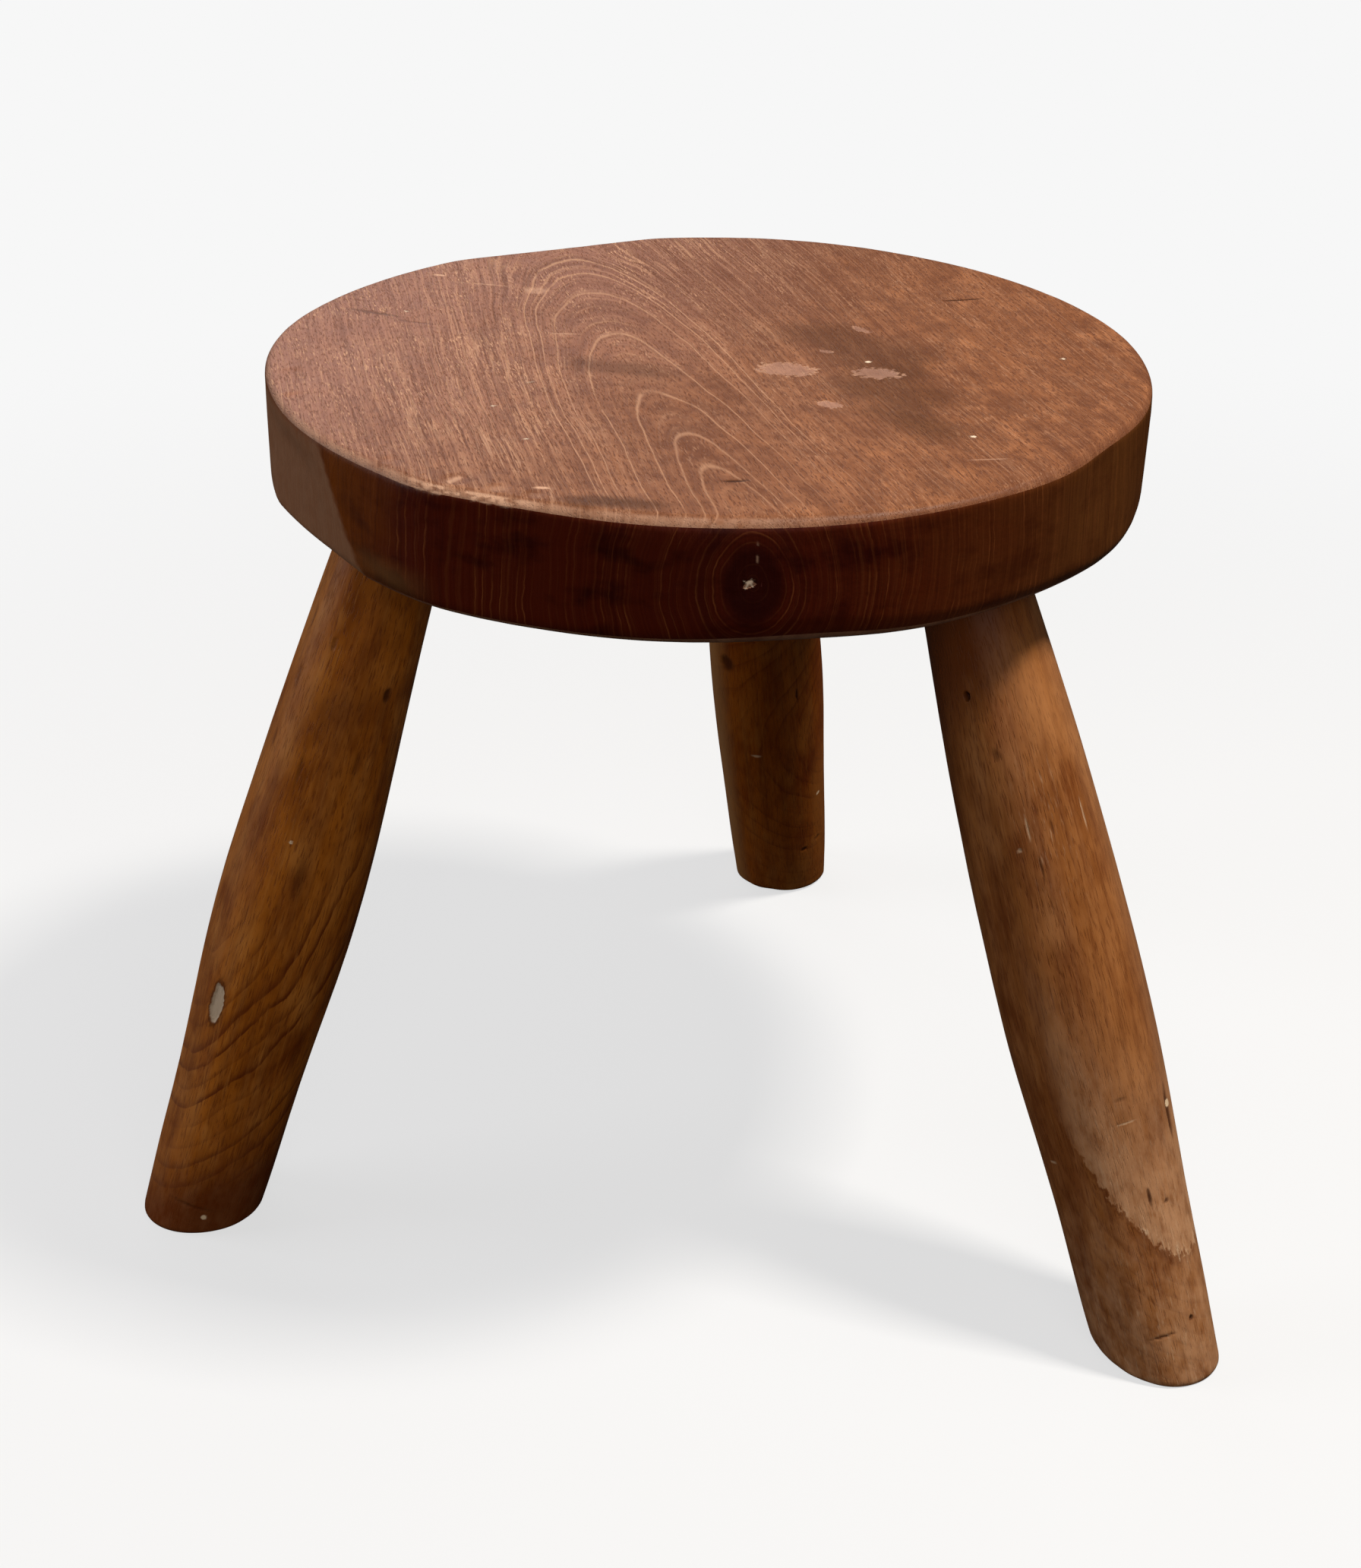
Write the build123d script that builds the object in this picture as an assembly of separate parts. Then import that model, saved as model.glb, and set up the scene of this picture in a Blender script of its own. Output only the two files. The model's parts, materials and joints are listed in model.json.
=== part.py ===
from build123d import *

import os
from math import cos, radians, sin

# A three-legged milking stool: one thick round slab, three bellied legs driven into blind mortises on its
# underside, and a foxtail wedge hidden in the split end of each tenon. Millimetres and degrees, +Z up. The
# origin is on the floor, at the centre of the stool's footprint box. Bearings are seen from the seat's axis
# and run anticlockwise from +X; the rear leg stands towards +Y.

# Seat
SEAT_AXIS_X = -7.6
SEAT_AXIS_Y = -39.1
SEAT_RADIUS = 161.0
SEAT_TOP_Z = 335.5
SEAT_THICKNESS = 45.5
FLAT_SPOT_BEARING = 125.0  # where the log ran short and the rim was left flat
FLAT_SPOT_DEPTH = 6.0
FLAT_SPOT_BLEND = 90.0
TOP_ROUNDING = 4.0
BOTTOM_ROUNDING = 9.0
DISH_RADIUS = 151.0
DISH_DEPTH = 4.0
GRAIN_BEARING = -60.0  # the way the slab's fibres run

# Legs: where each axis meets the seat's underside and the floor, as (radius, bearing) from the seat's axis,
# and the shaved radii at each fifth of the length from the seat down to the floor
LEGS = {
    "front_left": {"socket": (118.0, 210.1), "foot": (210.6, 209.4), "radii": (22.3, 25.5, 26.8, 24.0, 21.9)},
    "front_right": {"socket": (117.2, 330.5), "foot": (229.5, 329.9), "radii": (23.1, 25.9, 26.7, 24.1, 21.9)},
    "rear": {"socket": (111.7, 92.4), "foot": (218.1, 89.5), "radii": (22.4, 24.5, 25.4, 23.6, 21.5)},
}
FOOT_OVERRUN = 25.0  # spare length below the floor, sawn off flat
FOOT_TAPER = 2.2  # how much slimmer the leg is at the end of that spare length
NECK_SLOPE = 0.07  # how fast the radius grows below the seat, and shrinks at the foot
FOOT_SLOPE = 0.07
FOOT_ROUNDING = 2.0

# Joint: a 1 1/2 inch round tenon in a blind mortise, spread by a foxtail wedge
TENON_RADIUS = 19.05
TENON_LENGTH = 28.0
TENON_SHOULDERLESS = 8.0  # the straight part starts this far below the seat's underside
SPREAD_LENGTH = 18.0
SPREAD = 1.0  # how far the wedge pushes each half of the tenon's end outwards
MORTISE_END_GAP = 1.5
KERF_LENGTH = 22.0
KERF_WIDTH = 1.2
KERF_OPENED_WIDTH = 5.0
WEDGE_LENGTH = 20.0
WEDGE_WIDTH = 33.0

UNDERSIDE_Z = SEAT_TOP_Z - SEAT_THICKNESS
SEAT_AXIS = Vector(SEAT_AXIS_X, SEAT_AXIS_Y, 0)


def heading(bearing):
    return Vector(cos(radians(bearing)), sin(radians(bearing)), 0)


def place(radius, bearing, z):
    return SEAT_AXIS + heading(bearing) * radius + Vector(0, 0, z)


def socket_plane(leg):
    """Origin where the leg's axis meets the underside, Z up the leg, X the way the wedge spreads the tenon."""
    socket = place(*leg["socket"], UNDERSIDE_Z)
    foot = place(*leg["foot"], 0)
    up = (socket - foot).normalized()
    grain = heading(GRAIN_BEARING)
    across = grain - up * grain.dot(up)
    return Plane(origin=socket, x_dir=across, z_dir=up)


def leg_length(leg):
    return (place(*leg["socket"], UNDERSIDE_Z) - place(*leg["foot"], 0)).length


def spread_end(extra=0.0):
    """The widened end of a tenon, on the socket plane's axes, with extra length for the mortise's bottom."""
    start = TENON_LENGTH - SPREAD_LENGTH
    round_section = Plane.XY.offset(start) * Circle(TENON_RADIUS)
    spread_section = Plane.XY.offset(TENON_LENGTH) * Ellipse(TENON_RADIUS + SPREAD, TENON_RADIUS)
    end = loft([round_section, spread_section])
    if extra > 0:
        end += extrude(spread_section, amount=extra, dir=(0, 0, 1))
    return end


def peg(bottom):
    """The straight round part of a tenon or mortise, from bottom up to where the end spreads."""
    top = TENON_LENGTH - SPREAD_LENGTH
    return Pos(0, 0, bottom) * Cylinder(
        TENON_RADIUS, top - bottom, align=(Align.CENTER, Align.CENTER, Align.MIN)
    )


def opened_half_width(z):
    """Half the opening of the split at a height on the tenon: closed at its root, widest at its mouth."""
    share = (z - (TENON_LENGTH - KERF_LENGTH)) / KERF_LENGTH
    return (KERF_WIDTH + (KERF_OPENED_WIDTH - KERF_WIDTH) * share) / 2


def tapered_block(bottom, top, width):
    """A block that fills the split between two heights and is as wide as stated along it."""
    low = opened_half_width(bottom)
    high = opened_half_width(top)
    outline = Plane.XZ * Polygon((-low, bottom), (low, bottom), (high, top), (-high, top), align=None)
    return extrude(outline, amount=width / 2, both=True)


def make_wedge(leg):
    block = tapered_block(TENON_LENGTH - WEDGE_LENGTH, TENON_LENGTH + MORTISE_END_GAP, WEDGE_WIDTH)
    return socket_plane(leg) * block


def make_leg(leg):
    length = leg_length(leg)
    fifths = [(radius, -length * (i + 1) / 5) for i, radius in enumerate(leg["radii"])]
    neck = (TENON_RADIUS, -TENON_SHOULDERLESS)
    tip = (leg["radii"][-1] - FOOT_TAPER, -length - FOOT_OVERRUN)
    contour = Spline(neck, *fifths, tip, tangents=[(NECK_SLOPE, -1), (-FOOT_SLOPE, -1)])
    closing = Polyline(tip, (0, tip[1]), (0, neck[1]), neck)
    shaved = revolve(Plane.XZ * make_face(contour + closing), Axis.Z)
    split = tapered_block(TENON_LENGTH - KERF_LENGTH, TENON_LENGTH + MORTISE_END_GAP, 3 * TENON_RADIUS)
    blank = shaved + peg(-TENON_SHOULDERLESS) + spread_end() - split
    sawn = (socket_plane(leg) * blank).split(Plane.XY, keep=Keep.TOP)
    sole_edges = sawn.edges().filter_by_position(Axis.Z, -0.01, 0.01)
    return fillet(sole_edges, FOOT_ROUNDING)


def mortise(leg):
    return socket_plane(leg) * (peg(-TENON_SHOULDERLESS) + spread_end(MORTISE_END_GAP))


def seat_outline():
    """A circle with one short flat, blended into the round."""
    chord = SEAT_RADIUS - FLAT_SPOT_DEPTH
    off_side = Rot(0, 0, FLAT_SPOT_BEARING) * Pos(chord, 0) * Rectangle(
        SEAT_RADIUS, 2 * SEAT_RADIUS, align=(Align.MIN, Align.CENTER)
    )
    cut = Circle(SEAT_RADIUS) - off_side
    return fillet(cut.vertices(), FLAT_SPOT_BLEND)


def make_seat():
    slab = extrude(Pos(0, 0, UNDERSIDE_Z) * seat_outline(), amount=SEAT_THICKNESS, dir=(0, 0, 1))
    slab = fillet(slab.edges().group_by(Axis.Z)[-1], TOP_ROUNDING)
    slab = fillet(slab.edges().group_by(Axis.Z)[0], BOTTOM_ROUNDING)
    ball_radius = (DISH_RADIUS**2 + DISH_DEPTH**2) / (2 * DISH_DEPTH)
    slab -= Pos(0, 0, SEAT_TOP_Z - DISH_DEPTH + ball_radius) * Sphere(ball_radius)
    slab = Pos(SEAT_AXIS_X, SEAT_AXIS_Y, 0) * slab
    for leg in LEGS.values():
        slab -= mortise(leg)
    return slab


def main():
    os.makedirs("parts", exist_ok=True)
    nodes = {"seat": make_seat()}
    for name, leg in LEGS.items():
        nodes[f"leg_{name}"] = make_leg(leg)
        nodes[f"wedge_{name}"] = make_wedge(leg)
    for name, shape in nodes.items():
        export_step(shape, f"parts/{name}.step")
    box = Compound(children=[shape for shape in nodes.values()]).bounding_box()
    print("stool", box.min, box.max)
    for name, leg in LEGS.items():
        print("sole", name, place(*leg["foot"], 0))


main()
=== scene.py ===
"""The looks of a three-legged wooden milking stool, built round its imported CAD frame. Metres, +Z up."""
import json
from collections import namedtuple
from math import cos, pi, radians, sin, sqrt

import bmesh
import bpy
import numpy as np
from mathutils import Matrix, Vector
from mathutils.bvhtree import BVHTree


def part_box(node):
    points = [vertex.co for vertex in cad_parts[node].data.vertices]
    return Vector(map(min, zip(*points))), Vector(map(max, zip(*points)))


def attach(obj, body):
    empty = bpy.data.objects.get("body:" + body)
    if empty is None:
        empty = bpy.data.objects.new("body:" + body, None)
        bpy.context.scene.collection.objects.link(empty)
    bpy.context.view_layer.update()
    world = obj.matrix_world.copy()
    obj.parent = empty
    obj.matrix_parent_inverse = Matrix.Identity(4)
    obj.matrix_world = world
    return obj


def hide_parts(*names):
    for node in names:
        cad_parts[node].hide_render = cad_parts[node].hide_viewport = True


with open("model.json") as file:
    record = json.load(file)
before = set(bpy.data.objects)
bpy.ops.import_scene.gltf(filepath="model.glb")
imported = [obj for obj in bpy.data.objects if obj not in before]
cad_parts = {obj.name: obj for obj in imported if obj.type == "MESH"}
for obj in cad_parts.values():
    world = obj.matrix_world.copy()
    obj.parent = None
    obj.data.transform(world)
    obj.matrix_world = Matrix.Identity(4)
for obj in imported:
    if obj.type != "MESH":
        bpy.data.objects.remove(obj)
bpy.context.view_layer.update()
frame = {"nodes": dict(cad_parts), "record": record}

MM = 0.001
WHOLE_STOOL = "root"

# ---------------- the frame's own places
seat_low, seat_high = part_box("seat")
SEAT_CENTRE = np.array([(seat_low.x + seat_high.x) / 2, (seat_low.y + seat_high.y) / 2, 0.0])
SEAT_RADIUS = (seat_high.x - seat_low.x) / 2
SEAT_TOP = seat_high.z
SEAT_UNDERSIDE = seat_low.z
TOP_CENTRE = SEAT_CENTRE + [0, 0, SEAT_TOP]
SOLES = {m["name"].removeprefix("sole_"): np.array(m["pos_m"]) for m in frame["record"]["mounts"]}

# ---------------- the marks of use
# On the seat's top: places and sizes in mm from the middle of the seat, turns in degrees.
SCUFFS = (  # bare flakes in the polish: centre, half sizes, turn
    ((27, 4), (10.2, 7.5), -4),
    ((61, 5), (8.5, 6.0), -3),
    ((49, -33), (5.0, 3.0), -32),
    ((39, 27), (3.0, 1.4), -20),
    ((48, 55), (4.2, 1.8), -40),
)
SPECKS = (  # drops of pale paint: centre, radius
    ((56, 17.5), 1.05),
    ((102, -59.5), 1.0),
    ((127, 31), 0.75),
    ((-66, -64), 0.6),
    ((-60, -34), 0.5),
    ((-125, 30), 0.5),
    ((-46, -95), 0.6),
)
STAINS = (  # dark clouds: centre, half sizes, turn, strength
    ((38, 44), (22, 16), -20, 0.60),
    ((60, 22), (28, 22), -40, 0.62),
    ((70, -14), (30, 22), -55, 0.68),
    ((82, -48), (24, 13), -55, 0.80),
    ((-31, -9), (26, 9), -5, 0.55),
    ((-3, -151), (20, 6.0), 4, 0.90),
)
SCRATCHES = (  # thin cuts: centre, half length, half width, turn, and how dark (or, below 0, how pale)
    ((83.5, 97), 9.5, 0.75, 17, 1.0),
    ((-136, 24), 11.0, 1.60, -6, 0.45),
    ((-118, 19), 8.0, 0.90, -3, 0.35),
    ((-125, 77), 3.0, 1.10, 4, -0.9),
    ((-104, 72), 13.0, 0.55, 4, -0.45),
    ((-83.8, 70.9), 5.0, 4.20, 0, -0.45),
    ((-61, 24), 6.0, 0.80, 12, -0.40),
    ((109, -83), 7.0, 0.60, 14, -0.45),
    ((-29, -143), 3.0, 1.30, 10, -1.0),
    ((30, -120), 4.5, 1.20, 20, 0.9),
)
# On the legs: the kind, angle round the leg, share of the way from the seat to the sole, half size round the
# leg and along it in mm, and depth in mm.
LegMark = namedtuple("LegMark", "kind degrees share half_round half_long depth")
LEG_MARKS = {
    "front_left": (
        ("bare", -55, 0.668, 3.0, 8.5, 0.9),
        ("dark", 19, 0.213, 1.8, 3.2, 0.5),
        ("dark", -45, 0.168, 1.2, 3.5, 0.3),
        ("dark", -75, 0.224, 1.1, 4.5, 0.3),
        ("dark", -83, 0.151, 0.8, 4.5, 0.2),
        ("dark", 6, 0.304, 1.5, 5.5, 0.2),
        ("dark", -81, 0.315, 1.3, 4.0, 0.2),
        ("dark", -41, 0.330, 1.0, 9.0, 0.2),
        ("dark", -15, 0.464, 2.4, 10.0, 0.2),
        ("dark", -27, 0.962, 10.0, 0.7, 0.3),
        ("speck", -13, 0.974, 1.0, 1.0, 0.0),
        ("speck", -30, 0.422, 0.7, 0.7, 0.0),
    ),
    "front_right": (
        ("hole", -50, 0.146, 1.5, 1.9, 2.4),
        ("pale", -23, 0.305, 0.45, 4.5, 0.2),
        ("pale", -33, 0.329, 0.8, 0.9, 0.2),
        ("pale", 28, 0.310, 0.4, 6.0, 0.2),
        ("dark", -35, 0.217, 1.8, 3.0, 0.2),
        ("dark", -20, 0.354, 0.6, 5.0, 0.3),
        ("dark", -4, 0.312, 0.6, 4.0, 0.3),
        ("dark", -12, 0.949, 6.0, 0.6, 0.4),
        ("dark", 19, 0.940, 1.1, 1.3, 0.7),
        ("dark", -3, 0.645, 2.6, 0.8, 0.2),
        ("dark", 4, 0.774, 0.9, 4.0, 0.4),
        ("dark", 20, 0.787, 1.4, 0.9, 0.4),
        ("dark", 47, 0.690, 1.8, 12.0, 0.4),
        ("pale", -76, 0.717, 1.8, 0.5, 0.2),
        ("pale", -2, 0.675, 4.0, 0.35, 0.1),
        ("speck", 49, 0.681, 1.2, 1.4, 0.0),
    ),
    "rear": (
        ("dark", -64, 0.470, 4.2, 5.2, 0.4),
        ("dark", 11, 0.535, 0.7, 5.0, 0.4),
        ("pale", -37, 0.650, 2.4, 0.9, 0.1),
        ("dark", 11, 0.882, 2.0, 1.4, 0.5),
        ("dark", 34, 0.879, 2.0, 1.6, 0.3),
        ("speck", 38, 0.780, 1.4, 0.8, 0.0),
    ),
}


# ---------------- smooth random fields for hand-made surfaces

LATTICE_PRIMES = (73856093, 19349663, 83492791)
SEED_PRIME = 2654435761
LOW_32_BITS = 0xFFFFFFFF
BIT_MIXING = ((13, 1274126177), (16, 2246822519))  # shift and factor of each step
LAST_SHIFT = 15
HALF_RANGE = 0x7FFFFFFF


def lattice_value(corner, seed):
    """One repeatable random number from -1 to 1 for each whole-number lattice point."""
    x, y, z = (corner * LATTICE_PRIMES).T
    h = ((x ^ y ^ z ^ seed * SEED_PRIME) & LOW_32_BITS).astype(np.uint64)
    for shift, factor in BIT_MIXING:
        h = (h ^ (h >> shift)) * factor & LOW_32_BITS
    h = h ^ (h >> LAST_SHIFT)
    return h.astype(float) / HALF_RANGE - 1.0


def wander(points, cell, seed):
    """A smooth field from -1 to 1 that changes over a cell, which is one size or one for each axis."""
    p = points / np.asarray(cell, float)
    base = np.floor(p).astype(np.int64)
    f = p - base
    f = f * f * (3 - 2 * f)
    total = np.zeros(len(points))
    for corner in np.ndindex(2, 2, 2):
        total += np.prod(np.where(corner, f, 1 - f), axis=1) * lattice_value(base + corner, seed)
    return total


def smooth_step(low, high, x):
    t = np.clip((x - low) / (high - low), 0, 1)
    return t * t * (3 - 2 * t)


def turn_between(a, b):
    """The signed angle from b to a, in degrees, from -180 to 180."""
    return (a - b + 180) % 360 - 180


def hump(degrees, bearing, half_width):
    """1 at a bearing, falling away on both sides of it."""
    return np.exp(-((turn_between(degrees, bearing) / half_width) ** 2))


def rounded_pull(depth_into_edge, radius):
    """How far a quarter-round edge stands back from the square corner, this far before the corner."""
    t = np.clip(1 - depth_into_edge / radius, 0, 1)
    return radius * (1 - np.sqrt(1 - t * t))


# ---------------- meshes


def ring_mesh(rings, first_tip, last_tip):
    """Vertices and faces of a closed skin over rings of equal length, ended by a point at each end."""
    count = len(rings[0])
    vertices = np.vstack([[first_tip], *rings, [last_tip]])
    around = np.arange(count)
    pairs = list(zip(around, (around + 1) % count))
    faces = [(0, 1 + i, 1 + j) for i, j in pairs]
    for a in range(1, 1 + (len(rings) - 1) * count, count):
        b = a + count
        faces += [(a + i, b + i, b + j, a + j) for i, j in pairs]
    last = 1 + (len(rings) - 1) * count
    tip = len(vertices) - 1
    return vertices, faces + [(last + i, tip, last + j) for i, j in pairs]


def refine(bm, centre, reach, times):
    """Halves the faces within reach of a point, so that a small mark there has points enough."""
    for _ in range(times):
        near = [v for v in bm.verts if (v.co - Vector(centre)).length < reach]
        edges = {e for v in near for e in v.link_edges}
        bmesh.ops.subdivide_edges(bm, edges=list(edges), cuts=1, use_grid_fill=True)


def show(name, mesh):
    ob = bpy.data.objects.new(name, mesh)
    bpy.context.scene.collection.objects.link(ob)
    return ob


def skin(name, vertices, faces, relief, fine=()):
    """A mesh object refined in the fine places, whose points then move out by relief(points), in metres."""
    bm = bmesh.new()
    for v in vertices:
        bm.verts.new(v)
    bm.verts.ensure_lookup_table()
    for f in faces:
        bm.faces.new([bm.verts[i] for i in f])
    for place in fine:
        refine(bm, *place)
    bmesh.ops.recalc_face_normals(bm, faces=bm.faces)
    bm.normal_update()
    points = np.array([v.co for v in bm.verts])
    normals = np.array([v.normal for v in bm.verts])
    for v, co in zip(bm.verts, points + normals * relief(points)[:, None]):
        v.co = co
    mesh = bpy.data.meshes.new(name)
    bm.to_mesh(mesh)
    bm.free()
    mesh.shade_smooth()
    return show(name, mesh)


def cut_away(ob, cutters):
    """Takes the cutters' shapes out of ob, then removes them."""
    for cutter in cutters:
        m = ob.modifiers.new("cut", "BOOLEAN")
        m.operation = "DIFFERENCE"
        m.solver = "EXACT"
        m.object = cutter
    bpy.context.view_layer.update()
    cut = bpy.data.meshes.new_from_object(ob.evaluated_get(bpy.context.evaluated_depsgraph_get()))
    old = ob.data
    ob.modifiers.clear()
    ob.data = cut
    ob.data.name = old.name
    bpy.data.meshes.remove(old)
    for cutter in cutters:
        bpy.data.objects.remove(cutter)


class Paint:
    """Shares from 0 to 1 for every point of a mesh, under the names by which the materials read them."""

    def __init__(self, ob, *names):
        self.mesh = ob.data
        self.shares = {name: np.zeros(len(self.mesh.vertices)) for name in names}

    def lay(self, name, share):
        """Keeps the stronger of what is there already and share."""
        self.shares[name] = np.maximum(self.shares[name], share)

    def store(self):
        for name, share in self.shares.items():
            layer = self.mesh.attributes.new(name, "FLOAT", "POINT")
            layer.data.foreach_set("value", np.clip(share, 0, 1).astype(np.float32))


def read_triples(items, attribute):
    """One row of three numbers for each item of a mesh."""
    numbers = np.empty(len(items) * 3, np.float32)
    items.foreach_get(attribute, numbers)
    return numbers.reshape(-1, 3)


def points_of(ob):
    return read_triples(ob.data.vertices, "co").astype(float)


# ---------------- legs

TENON_RADIUS = 19.05 * MM
TENON_LENGTH = 28 * MM
SPREAD_LENGTH = 18 * MM
SPREAD = 1 * MM
NECK = 8 * MM  # the straight round top of the leg starts this far below the seat
MORTISE_PLAY = 0.12 * MM
MORTISE_END_GAP = 1.5 * MM
KERF_WIDENING = 0.6  # how far past the tenon's sides the saw kerf's cutter reaches, as a share of the wedge
GRAIN_BEARING = radians(-60)
AROUND_LEG = 128
TENON_RINGS = 8
FOOT_RINGS = 9
FOOT_SHARE = 0.03  # of the leg's length, where its rings lie closer towards the sole's edge
SHAFT_RINGS = 210
SOLE_SHARES = np.linspace(0.06, 0.97, 14)
TENON_END_SHARES = np.linspace(0.9, 0.1, 6)
CONTOUR_HEIGHTS = 60
CONTOUR_LOOKS = 24
CONTOUR_CLEAR = 4 * MM  # the CAD leg is read from here up, above the slant of its sole
WIDEST = 24 * MM
FOOT_WEAR = {  # least rounding of the sole's edge, the extra on its most worn side, and that side's bearing
    "front_left": (1.6 * MM, 1.4 * MM, radians(290)),
    "front_right": (2.0 * MM, 5.0 * MM, radians(205)),
    "rear": (1.6 * MM, 1.6 * MM, radians(250)),
}
FLATS = 11
FLAT_UNEVEN = 0.28  # how far a flat strays from its even place, as a share of one flat
FLAT_DEPTHS = (0.1, 0.75)  # mm
FLAT_WIDTH = 0.2  # radians
FLAT_TWIST, TWIST_CELL = 0.25, 0.11  # radians, and over how many metres
FLAT_FADING = (0.06, 1, 1)
FLATS_MEAN = 0.25 * MM  # the flats cut this much off on average, so the round stands this much proud
OUT_OF_MORTISE = 14 * MM  # below the neck, where the shaving reaches its full depth
ON_SOLE = (0.2 * MM, 2 * MM)  # heights between which the flat sole gives way to it
MARK_PAINT = {  # the layer of paint, its strength, and the shares of the mark between which it grows to that
    "bare": ("bare", 1, 1.05, 0.95),
    "speck": ("pale", 1, 1.3, 0.8),
    "pale": ("pale", 0.40, 1.3, 0.5),
    "hole": ("groove", 0.85, 1.25, 0.4),
    "dark": ("groove", 0.45, 1.5, 0.1),
}
DEEP = 0.4  # mm, from where a dark mark is as dark as a hole
BARE_RIM = 0.6  # how dark the line round a bare patch is
LEG_UNEVEN = (  # height in mm, and size across, across and along in metres
    (0.45, (0.022, 0.022, 0.07)),
    (0.12, (0.006, 0.006, 0.03)),
    (0.03, (0.0025, 0.0025, 0.008)),
)


class LegAxis:
    """A leg's own axes: origin where it enters the seat, up along it, across as its wedge spreads it."""

    def __init__(self, name):
        self.name = name
        self.marks = [LegMark(*mark) for mark in LEG_MARKS[name]]
        self.wedge_mesh = frame["nodes"]["wedge_" + name].data
        self.wedge = np.mean([v.co for v in self.wedge_mesh.vertices], axis=0)
        self.foot = SOLES[name]
        run = self.wedge - self.foot
        self.up = run / np.linalg.norm(run)
        self.length = (SEAT_UNDERSIDE - self.foot[2]) / self.up[2]
        self.socket = self.foot + self.up * self.length
        grain = np.array([cos(GRAIN_BEARING), sin(GRAIN_BEARING), 0.0])
        across = grain - self.up * (grain @ self.up)
        self.across = across / np.linalg.norm(across)
        self.beside = np.cross(self.up, self.across)
        self.read_contour()

    def read_contour(self):
        """The CAD leg's radius at heights along the axis, found by looking outwards from it."""
        tree = BVHTree.FromObject(frame["nodes"]["leg_" + self.name], bpy.context.evaluated_depsgraph_get())
        slant = sqrt(1 - self.up[2] ** 2) / self.up[2]
        self.heights = np.linspace(-self.length + WIDEST * slant + CONTOUR_CLEAR, -NECK, CONTOUR_HEIGHTS)
        self.radii = []
        for z in self.heights:
            centre = Vector(self.at(z))
            turns = [2 * pi * k / CONTOUR_LOOKS for k in range(CONTOUR_LOOKS)]
            looks = [tree.ray_cast(centre, Vector(self.outward(turn))) for turn in turns]
            self.radii.append(max(look[3] or 0 for look in looks))
        self.radii = np.array(self.radii)
        self.foot_slope = (self.radii[1] - self.radii[0]) / (self.heights[1] - self.heights[0])

    def at(self, z):
        return self.socket + self.up * z

    def outward(self, angle):
        return self.across * cos(angle) + self.beside * sin(angle)

    def radius(self, z):
        below = np.minimum(z - self.heights[0], 0)
        return np.interp(z, self.heights, self.radii) + below * self.foot_slope

    def local(self, points):
        """Each point's distance out from the axis, angle round it and height along it."""
        p = points - self.socket
        x = p @ self.across
        y = p @ self.beside
        return np.hypot(x, y), np.arctan2(y, x), p @ self.up

    def surface(self, mark):
        """The point on the surface in the middle of a mark."""
        z = -self.length * mark.share
        return self.at(z) + self.outward(radians(mark.degrees)) * self.radius(z)

    def circle(self):
        """The directions round the axis: their parts across and beside it, one row for each."""
        angles = np.arange(AROUND_LEG) * 2 * pi / AROUND_LEG
        return np.cos(angles)[:, None] * self.across, np.sin(angles)[:, None] * self.beside


def tenon_rings(axis, bottom, play, end_gap):
    """Rings up the straight round peg and its spread end."""
    spread_from = TENON_LENGTH - SPREAD_LENGTH
    straight = np.linspace(bottom, spread_from, TENON_RINGS)
    heights = [*straight, *np.linspace(spread_from, TENON_LENGTH, TENON_RINGS)[1:]]
    if end_gap:
        heights.append(TENON_LENGTH + end_gap)
    x, y = axis.circle()
    r = TENON_RADIUS + play
    made = []
    for z in heights:
        widen = SPREAD * min(max(0, (z - spread_from) / SPREAD_LENGTH), 1)
        made.append(axis.at(z) + x * (r + widen) + y * r)
    return made


def cap_rings(ring, centre, shares):
    return [centre + (ring - centre) * share for share in shares]


def mortise_cutter(axis):
    rings = tenon_rings(axis, -2 * NECK, MORTISE_PLAY, MORTISE_END_GAP)
    low = axis.socket - axis.up * 2 * NECK
    high = axis.at(TENON_LENGTH + MORTISE_END_GAP)
    return skin("cutter", *ring_mesh(rings, low, high), lambda points: np.zeros(len(points)))


def split_cutter(axis):
    """The wedge's own shape, made wider than the tenon, to open the saw kerf it was driven into."""
    mesh = axis.wedge_mesh.copy()
    bm = bmesh.new()
    bm.from_mesh(mesh)
    bmesh.ops.remove_doubles(bm, verts=bm.verts, dist=1e-6)
    for v in bm.verts:
        side = (np.array(v.co) - axis.wedge) @ axis.beside
        v.co += Vector(axis.beside * side * KERF_WIDENING)
    bmesh.ops.recalc_face_normals(bm, faces=bm.faces)
    bm.to_mesh(mesh)
    bm.free()
    return show("cutter", mesh)


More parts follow.
